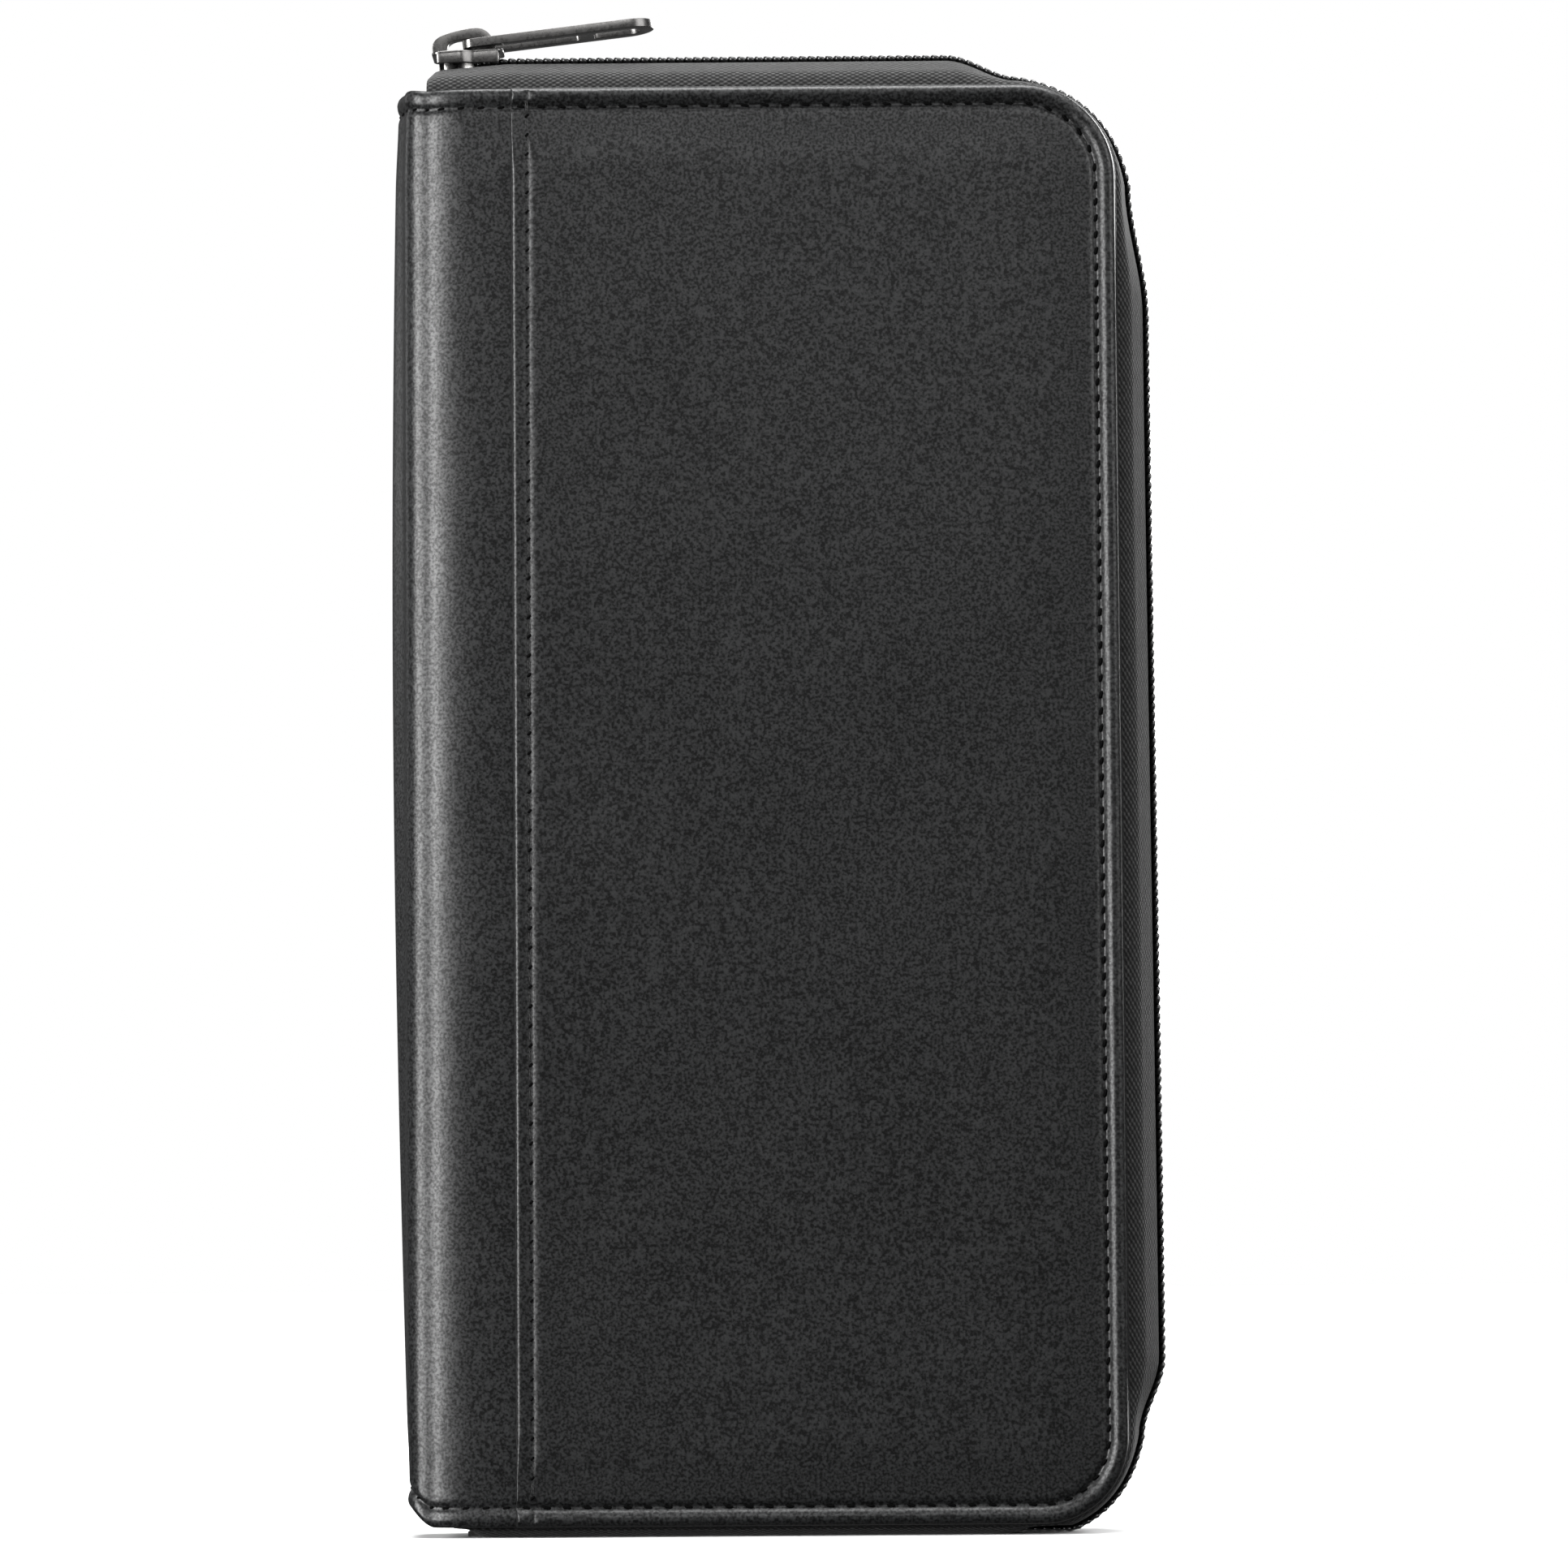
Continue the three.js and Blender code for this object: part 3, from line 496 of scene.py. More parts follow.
def seam_marks():
    places = BOTTOM_Z + STITCH_INSET + stitch_marks(TOP_Z - BOTTOM_Z - 2 * STITCH_INSET, SEAM_PITCH)
    centres = np.array([[SEAM_X + SEAM_STITCH_INSET, z] for z in places])
    return centres, np.tile([0.0, 1.0], (len(places), 1))


SEAM_EDGE = joined(
    spread(0, 0.9, 0.15), spread(0.9, 1.9, 0.25), spread(1.9, 3.1, 0.17), spread(3.1, 6.1, 0.5),
)
SEAM_ROUND = 0.8


def seam_depth(e):
    """Depth near the folded edge that laps over the spine leather."""
    rolled = rounded_fall(e, SEAM_ROUND)
    groove = 0.28 * np.exp(-((e - SEAM_STITCH_INSET) / 0.7) ** 2)
    return 0.9 * rolled + groove + 0.06 * smooth((e - 0.8) / 2)


def puckers(points, d, centres):
    """Small gathers beside the stitches, deepest at the needle holes."""
    pull = np.zeros(len(points))
    near = (d > 1.6) & (d < 7)
    chosen = points[near]
    nearest = np.full(len(chosen), 1e9)
    for centre in centres:
        nearest = np.minimum(nearest, np.hypot(*(chosen - centre).T))
    pull[near] = 0.16 * np.exp(-np.maximum(0, nearest - 0.3) / 0.9)
    return pull


def slow_waves(x, z, phase):
    """Gentle unevenness of the covered board."""
    long_wave = 0.05 * np.sin(x / 17 + phase) * np.sin(z / 29 + 2 * phase)
    short_wave = 0.03 * np.sin(x / 7.3 + z / 11 + phase)
    return long_wave + short_wave


def cover_leather(side, body, phase):
    xs = edged_places(SEAM_X, COVER_RIGHT_X, fine_low=SEAM_EDGE)
    zs = edged_places(BOTTOM_Z, TOP_Z)
    flat_x, flat_z = np.meshgrid(xs, zs)
    d = np.minimum(COVER_RIGHT_X - flat_x, np.minimum(TOP_Z - flat_z, flat_z - BOTTOM_Z))
    e = flat_x - SEAM_X
    x, z = rounded_corners(flat_x, flat_z)
    points = np.stack([x.ravel(), z.ravel()], axis=1)
    border_centres, _ = border_path()
    near_seam = smooth((e.ravel() - 2) / 4)
    depth = np.maximum(border_depth(d.ravel()), seam_depth(e.ravel()))
    depth = depth + puckers(points, d.ravel(), border_centres) * near_seam
    depth = depth + slow_waves(points[:, 0], points[:, 1], phase) * smooth(d.ravel() / 12)
    front = np.stack([points[:, 0], side * (FACE_Y - depth), points[:, 1]], axis=1)
    rows, columns = len(zs), len(xs)
    faces = grid_faces(rows, columns).tolist()
    front, faces = add_turned_edge(side, front, faces, rows, columns)
    obj = add_mesh(f"{body}_leather", front, faces, LEATHER)
    face_outwards(obj)
    add_modifier(obj, "SOLIDIFY", thickness=LEATHER_SHEET * MM, offset=-1, use_rim=True)
    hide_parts(f"{'front' if side < 0 else 'back'}_leather")
    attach(obj, body)
    return obj


def add_turned_edge(side, points, faces, rows, columns):
    """Carries the leather on from its three free edges, round the board and inwards."""
    top_run = [(rows - 1) * columns + j for j in range(columns)]
    right_run = [i * columns + columns - 1 for i in range(rows)][::-1]
    bottom_run = list(range(columns))[::-1]
    chain = top_run + right_run[1:] + bottom_run[1:]
    edge = points[chain]
    along = np.gradient(edge[:, [0, 2]], axis=0)
    along /= np.linalg.norm(along, axis=1)[:, None] + 1e-9
    outward = np.stack([-along[:, 1], along[:, 0]], axis=1)
    centre = np.array([0, (TOP_Z + BOTTOM_Z) / 2])
    if np.sum(outward * (edge[:, [0, 2]] - centre)) < 0:
        outward = -outward
    inner = TURNED_Y + LEATHER_SHEET * 0.2
    lip = FACE_Y - EDGE_ROUND - 0.35
    profile = [(-0.2, lip), (-0.2, lip - 0.15), (0.16, lip - 0.3), (0.2, lip - 0.5), (0.05, lip - 0.7),
               (0.0, inner + 0.3), (-0.15, inner + 0.1), (-0.5, inner), (-5.0, inner)]
    rings = [edge]
    for out, y in profile:
        ring = edge.copy()
        ring[:, [0, 2]] += outward * out
        ring[:, 0] = np.maximum(ring[:, 0], SEAM_X)
        ring[:, 1] = side * y
        rings.append(ring)
    start = len(points)
    extra = np.concatenate(rings[1:])
    count = len(chain)
    added = start + np.arange(len(profile) * count).reshape(len(profile), count)
    index = np.concatenate([np.array(chain)[None, :], added])
    for r in range(len(profile)):
        for c in range(count - 1):
            faces.append([index[r, c], index[r, c + 1], index[r + 1, c + 1], index[r + 1, c]])
    return np.concatenate([points, extra]), faces


def cover_stitches(side, body):
    """Dark stitches round the border, partly painted shade of their slots, and black pieces in the needle
    holes down the seam, painted shade of the holes, with paler thread between.
    """
    groove = float(border_depth(np.array(STITCH_INSET)))
    seam_groove = float(seam_depth(np.array(SEAM_STITCH_INSET)))

    def place(point, depth):
        return np.array([point[0], side * (FACE_Y - depth), point[1]])

    border, hole_shades, seam = [], [], []
    # Border stitches: black thread whose darkness is partly painted shade of their slots.
    for centre, direction in zip(*border_path()):
        flat_run = abs(direction[0]) > 0.7
        ends = slanted_ends(centre, direction, 1.4, -0.2 if flat_run else -0.3)
        border.append([place(end, groove + 0.06) for end in ends])
    # Black pieces in the seam's needle holes: painted shade of the holes.
    for centre, direction in zip(*seam_marks()):
        hole_shade = slanted_ends(centre, direction, 0.9, -0.75)
        hole_shades.append([place(end, seam_groove + 0.04) for end in hole_shade])
        for offset in (-0.16, 0.1):
            shifted = centre + np.array([offset, SEAM_PITCH / 2])
            strand = slanted_ends(shifted, direction, SEAM_PITCH * 0.62, 0.06)
            seam.append([place(end, seam_groove + 0.02) for end in strand])
    pieces = [
        thread_capsules(f"{body}_border_thread", border, BLACK_THREAD_AND_SLOT_SHADE, 0.25),
        thread_capsules(f"{body}_seam_hole_shades", hole_shades, BLACK_THREAD_AND_SLOT_SHADE, 0.22),
        thread_capsules(f"{body}_seam_thread", seam, PALE_THREAD, 0.075),
    ]
    for piece in pieces:
        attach(piece, body)


# ---- Spine leather ----

# How far the spine's two ends draw in from the covers' ends. A negative one stands out.
TOP_TUCK = -0.45
BOTTOM_TUCK = 3.0
FLAP_HIDDEN = 3.0  # spine leather under the cover's folded edge
SPINE_CROWN = 1.3
CROWN_SLOPE = 0.36  # where the fold starts
CROWN_TO_FOLD = SEAM_X - SPINE_FLAT_X - SPINE_CORNER_RADIUS
CROWN_FALL = 8.5
SPINE_BORDER_SHARE = 0.6  # the spine's rim is a little flatter than the covers'


def bow_at(z):
    return SPINE_BOW * np.sin(0.8 * math.pi * np.clip((z - BOTTOM_Z) / (TOP_Z - BOTTOM_Z), 0, 1))


def spine_line(side):
    """The section from under the cover's leather, round the fold, to the middle of the
    spine: points, outward normals and how far each is round the fold, from 0 to 1."""
    radius = SPINE_CORNER_RADIUS
    tangent_x = SPINE_FLAT_X + radius
    tangent_y = FLAP_Y - radius
    points, normals, turned = [], [], []
    for x in spread(SEAM_X + FLAP_HIDDEN, tangent_x, 0.5):
        points.append((x, side * FLAP_Y))
        normals.append((0, side))
        turned.append(0)
    for angle in spread(0, math.pi / 2, math.pi / 32)[1:]:
        normal = (-math.sin(angle), side * math.cos(angle))
        points.append((tangent_x + radius * normal[0], side * tangent_y + radius * normal[1]))
        normals.append(normal)
        turned.append(angle / (math.pi / 2))
    for y in spread(tangent_y, 0, 0.5)[1:]:
        points.append((SPINE_FLAT_X, side * y))
        normals.append((-1, 0))
        turned.append(1)
    return np.array(points), np.array(normals, float), np.array(turned, float)


def spine_surface(side, zs):
    """Points over the spine leather, with the distance to its nearer end."""
    line, normals, turned = spine_line(side)
    length = np.concatenate([[0], np.cumsum(np.linalg.norm(np.diff(line, axis=0), axis=1))])
    crown = crown_at(length)
    share = (zs - BOTTOM_Z) / (TOP_Z - BOTTOM_Z)
    w = smooth(turned)
    low = BOTTOM_Z + BOTTOM_TUCK * w ** 2
    high = TOP_Z - TOP_TUCK * w ** 2
    z = low[None, :] + share[:, None] * (high - low)[None, :]
    d = np.minimum(z - low[None, :], high[None, :] - z)
    reach = FLAP_Y - SPINE_CORNER_RADIUS
    middle = (1 + np.cos(np.pi * np.clip(line[:, 1] / reach, -1, 1))) / 2 * (turned > 0.99)
    bow = bow_at(z) * middle[None, :]
    depth = SPINE_BORDER_SHARE * border_depth(d) + crown[None, :] - bow
    return line, normals, length, z, d, depth


def crown_at(length):
    """How far the spine leather falls away from flat, at a length from its hidden end:
    ever steeper up to the fold, then back to nothing beyond it."""
    visible = np.clip(np.asarray(length, float) - FLAP_HIDDEN, 0, CROWN_TO_FOLD + CROWN_FALL)
    t = np.clip(visible / CROWN_TO_FOLD, 0, 1)
    rising = SPINE_CROWN * t * t * (3 - 2 * t) + CROWN_SLOPE * CROWN_TO_FOLD * t * t * (t - 1)
    t = np.clip((visible - CROWN_TO_FOLD) / CROWN_FALL, 0, 1)
    falling = SPINE_CROWN * (1 + 2 * t) * (1 - t) ** 2 + CROWN_SLOPE * CROWN_FALL * t * (1 - t) ** 2
    return np.where(visible < CROWN_TO_FOLD, rising, falling)


def spine_half(side, name):
    zs = edged_places(BOTTOM_Z, TOP_Z)
    line, normals, length, z, _, depth = spine_surface(side, zs)
    marks = np.arange(END_PITCH / 2 + FLAP_HIDDEN, length[-1], END_PITCH)
    x = line[None, :, 0] - normals[None, :, 0] * depth
    y = line[None, :, 1] - normals[None, :, 1] * depth
    points = np.stack([x, y, z], axis=-1).reshape(-1, 3)
    obj = add_mesh(name, points, grid_faces(len(zs), len(line)), SPINE_LEATHER)
    orient_grid(obj, Vector((0, side, 0)))
    add_modifier(obj, "SOLIDIFY", thickness=LEATHER_SHEET * MM, offset=-1, use_rim=True)
    apply_modifiers(obj)
    blend_at_fold(obj)
    stitches = spine_stitches(side, line, normals, length, marks, f"{name}_thread")
    blend_at_fold(stitches)
    return obj


def orient_grid(obj, outward):
    """Turns an open sheet's faces to the side that outward points to."""
    total = Vector()
    for polygon in obj.data.polygons:
        total += polygon.normal * polygon.area
    if total.dot(outward) < 0:
        obj.data.flip_normals()


def blend_at_fold(obj):
    """Bakes a piece's world place into its mesh points."""
    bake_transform(obj)


def spine_stitches(side, line, normals, length, marks, name):
    groove = SPINE_BORDER_SHARE * float(border_depth(np.array(STITCH_INSET)))
    turned = spine_line(side)[2]

    def place(mark, z):
        base = np.array([np.interp(mark, length, line[:, k]) for k in (0, 1)])
        normal = np.array([np.interp(mark, length, normals[:, k]) for k in (0, 1)])
        normal /= np.linalg.norm(normal)
        reach = FLAP_Y - SPINE_CORNER_RADIUS
        on_spine = np.interp(mark, length, turned) > 0.99
        bow = float(bow_at(z)) * (1 + math.cos(math.pi * np.clip(base[1] / reach, -1, 1))) / 2 * on_spine
        depth = groove + 0.06 + float(crown_at(mark)) - bow
        x, y = base - normal * depth
        return np.array([x, y, z])

    ends = []
    for mark in marks:
        tuck = smooth(np.interp(mark, length, turned)) ** 2
        for z in (TOP_Z - STITCH_INSET - TOP_TUCK * tuck, BOTTOM_Z + STITCH_INSET + BOTTOM_TUCK * tuck):
            ends.append((place(mark - 0.62, z + 0.12), place(min(mark + 0.62, length[-1]), z - 0.12)))
    # The spine's stitches are black thread, partly painted shade of their slots.
    obj = thread_capsules(name, ends, BLACK_THREAD_AND_SLOT_SHADE, 0.25)
    return obj


# ---- Zip ----

TAPE_BOTTOM_X = -49.9
TAPE_TOP_X = -53.4
COIL_TOP_X = -41.2
COIL_BOTTOM_X = -46
DIP_X = -52
DIP_BULGE = 4.4
END_BULGE = 3.0
SIDE_BULGE = 5.1
HIGH_SIDE_BULGE = 4.4
TOP_BULGE = 5.3
CORNER_BULGE = 1.0
CORNER_RISE = 0.8
CORNER_END_BULGE = CORNER_BULGE + CORNER_RISE
LOW_RAMP = 12
HIGH_RAMP = 20
TOP_RAMP = 11
BASE_RAMP = 6
TUCK_RAMP = 5  # the tape's bottom end is tucked in over this length
TUCKED_BULGE = -1.2
COIL_REACH = 1.2  # ridge of the tape to the coil's outermost wire
WIRE_RADIUS = 0.37
COIL_OUTSIDE = COIL_REACH + 0.3 * WIRE_RADIUS
BASE_BULGE = BOTTOM_Z - COIL_OUTSIDE
TAPE_THICKNESS = 0.5
BASE_SHOULDER = BOTTOM_Z - TAPE_THICKNESS / 2
TAPE_Y = LINING_Y + 0.4
EDGE_DROP = 0.12  # the tape sinks a little beside its coil
COIL_SEEN_X = -47  # the coil runs on inside the slider


def mixed(a, b, t):
    return a + (b - a) * t


def corner_stations(radius, centre_z, first_quarter, step):
    """Stations round a corner, between its ends. Where it faces down, the bulge is held
    back so that the coil stays above the surface."""
    centre_x = COVER_RIGHT_X - radius
    stations = []
    for t in spread(0, 1, step / (radius * math.pi / 2))[1:-1]:
        angle = (t + first_quarter) * math.pi / 2
        nx, nz = math.cos(angle), math.sin(angle)
        clear = centre_z / max(-nz, 0.01) - radius - COIL_OUTSIDE
        bulge = min(CORNER_BULGE + CORNER_RISE * abs(2 * t - 1) ** 3, clear)
        stations.append((centre_x + radius * nx, centre_z + radius * nz, nx, nz, bulge, 0))
    return stations


def zip_path(bottom_x, top_x, step):
    """Stations along the covers' edge: place, outward normal, bulge and flatness."""
    low_z = BOTTOM_Z + BOTTOM_CORNER_RADIUS
    high_z = TOP_Z - TOP_CORNER_RADIUS
    low_x = COVER_RIGHT_X - BOTTOM_CORNER_RADIUS
    high_x = COVER_RIGHT_X - TOP_CORNER_RADIUS
    stations = []
    for x in spread(bottom_x, low_x, step):
        corner = smooth((x - (low_x - BASE_RAMP)) / BASE_RAMP)
        tucked = smooth((x - TAPE_BOTTOM_X) / TUCK_RAMP)
        bulge = mixed(TUCKED_BULGE, BASE_BULGE, tucked)
        stations.append((x, BOTTOM_Z, 0, -1, bulge, (1 - corner) * tucked))
    stations += corner_stations(BOTTOM_CORNER_RADIUS, low_z, -1, step)
    for z in spread(low_z, high_z, step):
        full = mixed(SIDE_BULGE, HIGH_SIDE_BULGE, smooth((z - low_z) / (high_z - low_z)))
        grown = min(smooth((z - low_z) / LOW_RAMP), smooth((high_z - z) / HIGH_RAMP))
        stations.append((COVER_RIGHT_X, z, 1, 0, mixed(CORNER_END_BULGE, full, grown), 0))
    stations += corner_stations(TOP_CORNER_RADIUS, high_z, 0, step)
    for x in spread(high_x, top_x, step):
        bulge = mixed(CORNER_END_BULGE, TOP_BULGE, smooth((high_x - x) / TOP_RAMP))
        if x < COIL_TOP_X:
            bulge = mixed(TOP_BULGE, DIP_BULGE, min(1, (COIL_TOP_X - x) / (COIL_TOP_X - DIP_X)))
        if x < DIP_X:
            bulge = mixed(DIP_BULGE, END_BULGE, (DIP_X - x) / (DIP_X - TAPE_TOP_X))
        stations.append((x, TOP_Z, 0, 1, bulge, 0))
    return np.array(stations, float)


def arc_lengths(path):
    steps = np.linalg.norm(np.diff(path[:, :2], axis=0), axis=1)
    return np.concatenate([[0], np.cumsum(steps)])


def catmull(points, per_span):
    """A smooth line through 2D points."""
    padded = np.concatenate([[2 * points[0] - points[1]], points, [2 * points[-1] - points[-2]]])
    line = []
    for k in range(1, len(padded) - 2):
        p0, p1, p2, p3 = padded[k - 1:k + 3]
        for t in np.linspace(0, 1, per_span, endpoint=False):
            line.append(0.5 * (2 * p1 + (p2 - p0) * t + (2 * p0 - 5 * p1 + 4 * p2 - p3) * t * t
                               + (3 * p1 - p0 - 3 * p2 + p3) * t ** 3))
    line.append(padded[-2])
    return np.array(line)


def tape_line(side, bulge, flat):
    shoulder = mixed(0.92 * bulge, BASE_SHOULDER, flat)
    edge = bulge - EDGE_DROP * (1 - flat)
    corners = np.array([
        (-5.8, TAPE_Y), (-0.5, TAPE_Y), (0.45 * shoulder, TAPE_Y - 0.8),
        (mixed(0.72, 1, flat) * shoulder, 6.2), (shoulder, 3.4), (edge, 2.1), (edge, 0.65),
    ])
    corners[:, 1] *= side
    return catmull(corners, 5)


def band_sides(line, thickness):
    along = np.gradient(line, axis=0)
    along /= np.linalg.norm(along, axis=1)[:, None]
    across = np.stack([-along[:, 1], along[:, 0]], axis=1)
    return np.concatenate([line + across * thickness / 2, (line - across * thickness / 2)[::-1]])


def zip_tape(side, body, name):
    path = zip_path(TAPE_BOTTOM_X, TAPE_TOP_X, 1.1)
    lengths = arc_lengths(path)
    points, cloth = [], []
    for (x, z, nx, nz, bulge, flat), s in zip(path, lengths):
        line = tape_line(side, bulge, flat)
        width = np.concatenate([[0], np.cumsum(np.linalg.norm(np.diff(line, axis=0), axis=1))])
        ring = band_sides(line, TAPE_THICKNESS)
        for (out, y), t in zip(ring, np.concatenate([width, width[::-1]])):
            points.append((x + nx * out, y, z + nz * out))
            cloth.append((s, t, 0))
    faces = swept_faces(len(path), len(points) // len(path))
    obj = add_mesh(name, points, faces, TAPE_CLOTH)
    set_vector_attribute(obj, "cloth", cloth)
    face_outwards(obj)
    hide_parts(f"zip_tape_{'front' if side < 0 else 'back'}")
    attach(obj, body)
    return obj


COIL_FOOT = 0.4
COIL_MIDDLE_Y = 0.72
COIL_HALF_WIDTH = 0.78
POINTS_PER_TURN = 14
WIRE_SIDES = 7
CORE_RADIUS = 0.42  # the cord that the coil is sewn round
CORE_SIDES = 8
CORE_LIFT = 0.2


def tube(centres, radius, sides):
    """Points of a round tube along 3D centres, ring by ring."""
    along = np.gradient(centres, axis=0)
    along /= np.linalg.norm(along, axis=1)[:, None]
    normal = np.cross(along[0], [0.3, 0.5, 0.8])
    normal /= np.linalg.norm(normal)
    rings = []
    angles = np.linspace(0, 2 * math.pi, sides, endpoint=False)
    for centre, direction in zip(centres, along):
        normal = normal - direction * (normal @ direction)
        normal /= np.linalg.norm(normal)
        other = np.cross(direction, normal)
        rings.append(centre + radius * (np.cos(angles)[:, None] * normal + np.sin(angles)[:, None] * other))
    return np.concatenate(rings)


def tube_mesh(name, centres, radius, sides, material):
    points = tube(np.asarray(centres), radius, sides)
    faces = grid_faces(len(centres), sides, wrap_columns=True).tolist()
    faces.append(list(range(sides))[::-1])
    faces.append(list(range(len(points) - sides, len(points))))
    obj = add_mesh(name, points, faces, material)
    face_outwards(obj)
    return obj


def zip_coil(side, body, name):
    """One half of the coil: a helix of nylon whose heads reach past the middle line."""
    path = zip_path(COIL_BOTTOM_X, COIL_SEEN_X, 0.5)
    lengths = arc_lengths(path)
    turns = int(lengths[-1] / COIL_PITCH)
    phase = 0 if side < 0 else math.pi
    angle = np.linspace(0, 2 * math.pi * turns, turns * POINTS_PER_TURN + 1)
    s = angle / (2 * math.pi) * COIL_PITCH + (0.25 * COIL_PITCH if side > 0 else 0)
    turn_angle = angle * -side + phase
    lean = 0.16 * COIL_PITCH * np.sin(2 * turn_angle)
    s = np.clip(s + lean, 0, lengths[-1])
    x, z, nx, nz, bulge, _ = (np.interp(s, lengths, path[:, k]) for k in range(6))
    half_height = (COIL_REACH - COIL_FOOT) / 2 - WIRE_RADIUS * 0.7
    out = bulge + COIL_FOOT + WIRE_RADIUS * 0.7 + half_height + half_height * np.sin(turn_angle)
    y = side * (COIL_MIDDLE_Y + COIL_HALF_WIDTH * np.cos(turn_angle))
    centres = np.stack([x + nx * out, y, z + nz * out], axis=1)
    obj = tube_mesh(name, centres, WIRE_RADIUS, WIRE_SIDES, NYLON)
    core_out = path[:, 4] + COIL_FOOT + CORE_LIFT
    core = np.stack([path[:, 0] + path[:, 2] * core_out, np.full(len(path), side * COIL_MIDDLE_Y),
                     path[:, 1] + path[:, 3] * core_out], axis=1)
    cord = tube_mesh(f"{name}_core", core[::3], CORE_RADIUS, CORE_SIDES, BLACK_THREAD_AND_SLOT_SHADE)
    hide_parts(f"zip_coil_{'front' if side < 0 else 'back'}")
    for piece in (obj, cord):
        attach(piece, body)
    return obj


# ---- Slider and pull ----

SLIDER_LENGTH = 11.2
SLIDER_PLATE = 0.5
SLIDER_TILT = math.radians(4)
SLIDER_HIGH = box_mm("slider_body")[1]
TAIL_X, TAIL_TOP_Z = SLIDER_HIGH[0], SLIDER_HIGH[2]
NOSE_HALF_WIDTH = 4.3
TAIL_HALF_WIDTH = 3.4
NOSE_WALL = 1.85  # depth of the side walls, which stop just above the tapes
TAIL_WALL = 2.25
WALL_THICKNESS = 0.65
WALL_TOP = -0.25
PLATE_POINTS = 13  # points across a plate
BOTTOM_PLATE_LOW, BOTTOM_PLATE_HIGH = -5.1, -4.4
POST_START, POST_END = 1.6, 4.0
POST_HALF_WIDTH = 0.3
POST_TOP = -0.4
BAIL_HALF_WIDTH = 1.1
PULL_THICKNESS = 1.35
PULL_JOINT = next(j for j in frame["joints"] if j["name"] == "pull_swing")
PULL_X, PULL_Z = PULL_JOINT["pos_m"][0] / MM, PULL_JOINT["pos_m"][2] / MM
PULL_TILT = math.radians(6.8)


def slider_place(points):
    """Slider points, along, across and up from its tail's top edge, in the CAD frame."""
    points = np.asarray(points, float)
    u = points[:, 0] - SLIDER_LENGTH
    w = points[:, 2]
    x = TAIL_X + u * math.cos(SLIDER_TILT) - w * math.sin(SLIDER_TILT)
    z = TAIL_TOP_Z + u * math.sin(SLIDER_TILT) + w * math.cos(SLIDER_TILT)
    return np.stack([x, points[:, 1], z], axis=1)


def half_width(u, inset=0.0):
    """Half width of a slider plate at u from the nose, wide there and narrow at the tail."""
    body = mixed(NOSE_HALF_WIDTH, TAIL_HALF_WIDTH, smooth((u - 4.2) / 2.6)) - inset
    corner = 1.3
    nose = np.clip(u / corner, 0, 1)
    tail = np.clip((SLIDER_LENGTH - u) / corner, 0, 1)
    rounding = corner * (1 - np.sqrt(1 - (1 - np.minimum(nose, tail)) ** 2))
    return body - rounding


def plate_solid(name, low, high, from_u, to_u, inset=0.0, dome=0.0):
    """A rounded slider plate between two heights, as a lofted solid."""
    us = spread(from_u, to_u, 0.35)
    scaled = (us - from_u) / (to_u - from_u) * SLIDER_LENGTH
    points = []
    for u, su in zip(us, scaled):
        w = max(0.3, float(half_width(su, inset)))
        across = np.linspace(-1, 1, PLATE_POINTS)
        for t in across:
            points.append((u, w * t, high + dome * (1 - t * t)))
        for t in across[::-1]:
            points.append((u, w * t, low))
    obj = add_mesh(name, slider_place(points), swept_faces(len(us), 2 * PLATE_POINTS), METAL)
    face_outwards(obj)
    bevel_edges(obj, width=0.16, segments=3, sharper_than=40)
    return obj


def flange(name, side):
    """The side wall that turns down from the top plate's edge round the coil."""
    us = spread(0.7, SLIDER_LENGTH - 0.8, 0.35)
    points = []
    for u in us:
        w = float(half_width(u))
        outer, inner = side * w, side * (w - WALL_THICKNESS)
        foot = -mixed(NOSE_WALL, TAIL_WALL, u / SLIDER_LENGTH)
        points += [(u, outer, WALL_TOP), (u, outer, foot), (u, inner, foot), (u, inner, WALL_TOP)]
    obj = add_mesh(name, slider_place(points), swept_faces(len(us), 4), METAL)
    face_outwards(obj)
    bevel_edges(obj, width=0.15, segments=3, sharper_than=40)
    return obj


def slider_post(name):
    middle = (POST_START + POST_END) / 2
    outline = [(POST_START, 0), (middle, -POST_HALF_WIDTH), (POST_END, 0), (middle, POST_HALF_WIDTH)]
    points = [(u, v, w) for w in (POST_TOP, BOTTOM_PLATE_HIGH) for u, v in outline]
    faces = [[0, 1, 2, 3], [7, 6, 5, 4]] + [[k, k + 4, (k + 1) % 4 + 4, (k + 1) % 4] for k in range(4)]
    obj = add_mesh(name, slider_place(points), faces, METAL)
    face_outwards(obj)
    add_modifier(obj, "BEVEL", width=0.08 * MM, segments=2)
    return obj


def bail_outline():
    """Outer and inner lines of the arch, along and up from the plate's top."""
    outer = catmull(np.array([(0.05, 0.0), (0.1, 1.6), (1.0, 2.7), (2.9, 3.35), (5.2, 3.75), (7.3, 3.85),
                              (8.6, 3.3), (9.6, 2.0), (10.1, 0.0)], float), 6)
    inner = catmull(np.array([(8.5, 0.0), (8.35, 1.2), (7.6, 2.15), (6.0, 2.25), (3.9, 2.15), (2.7, 1.6),
                              (2.35, 0.7), (2.3, 0.0)], float), 6)
    return outer, inner


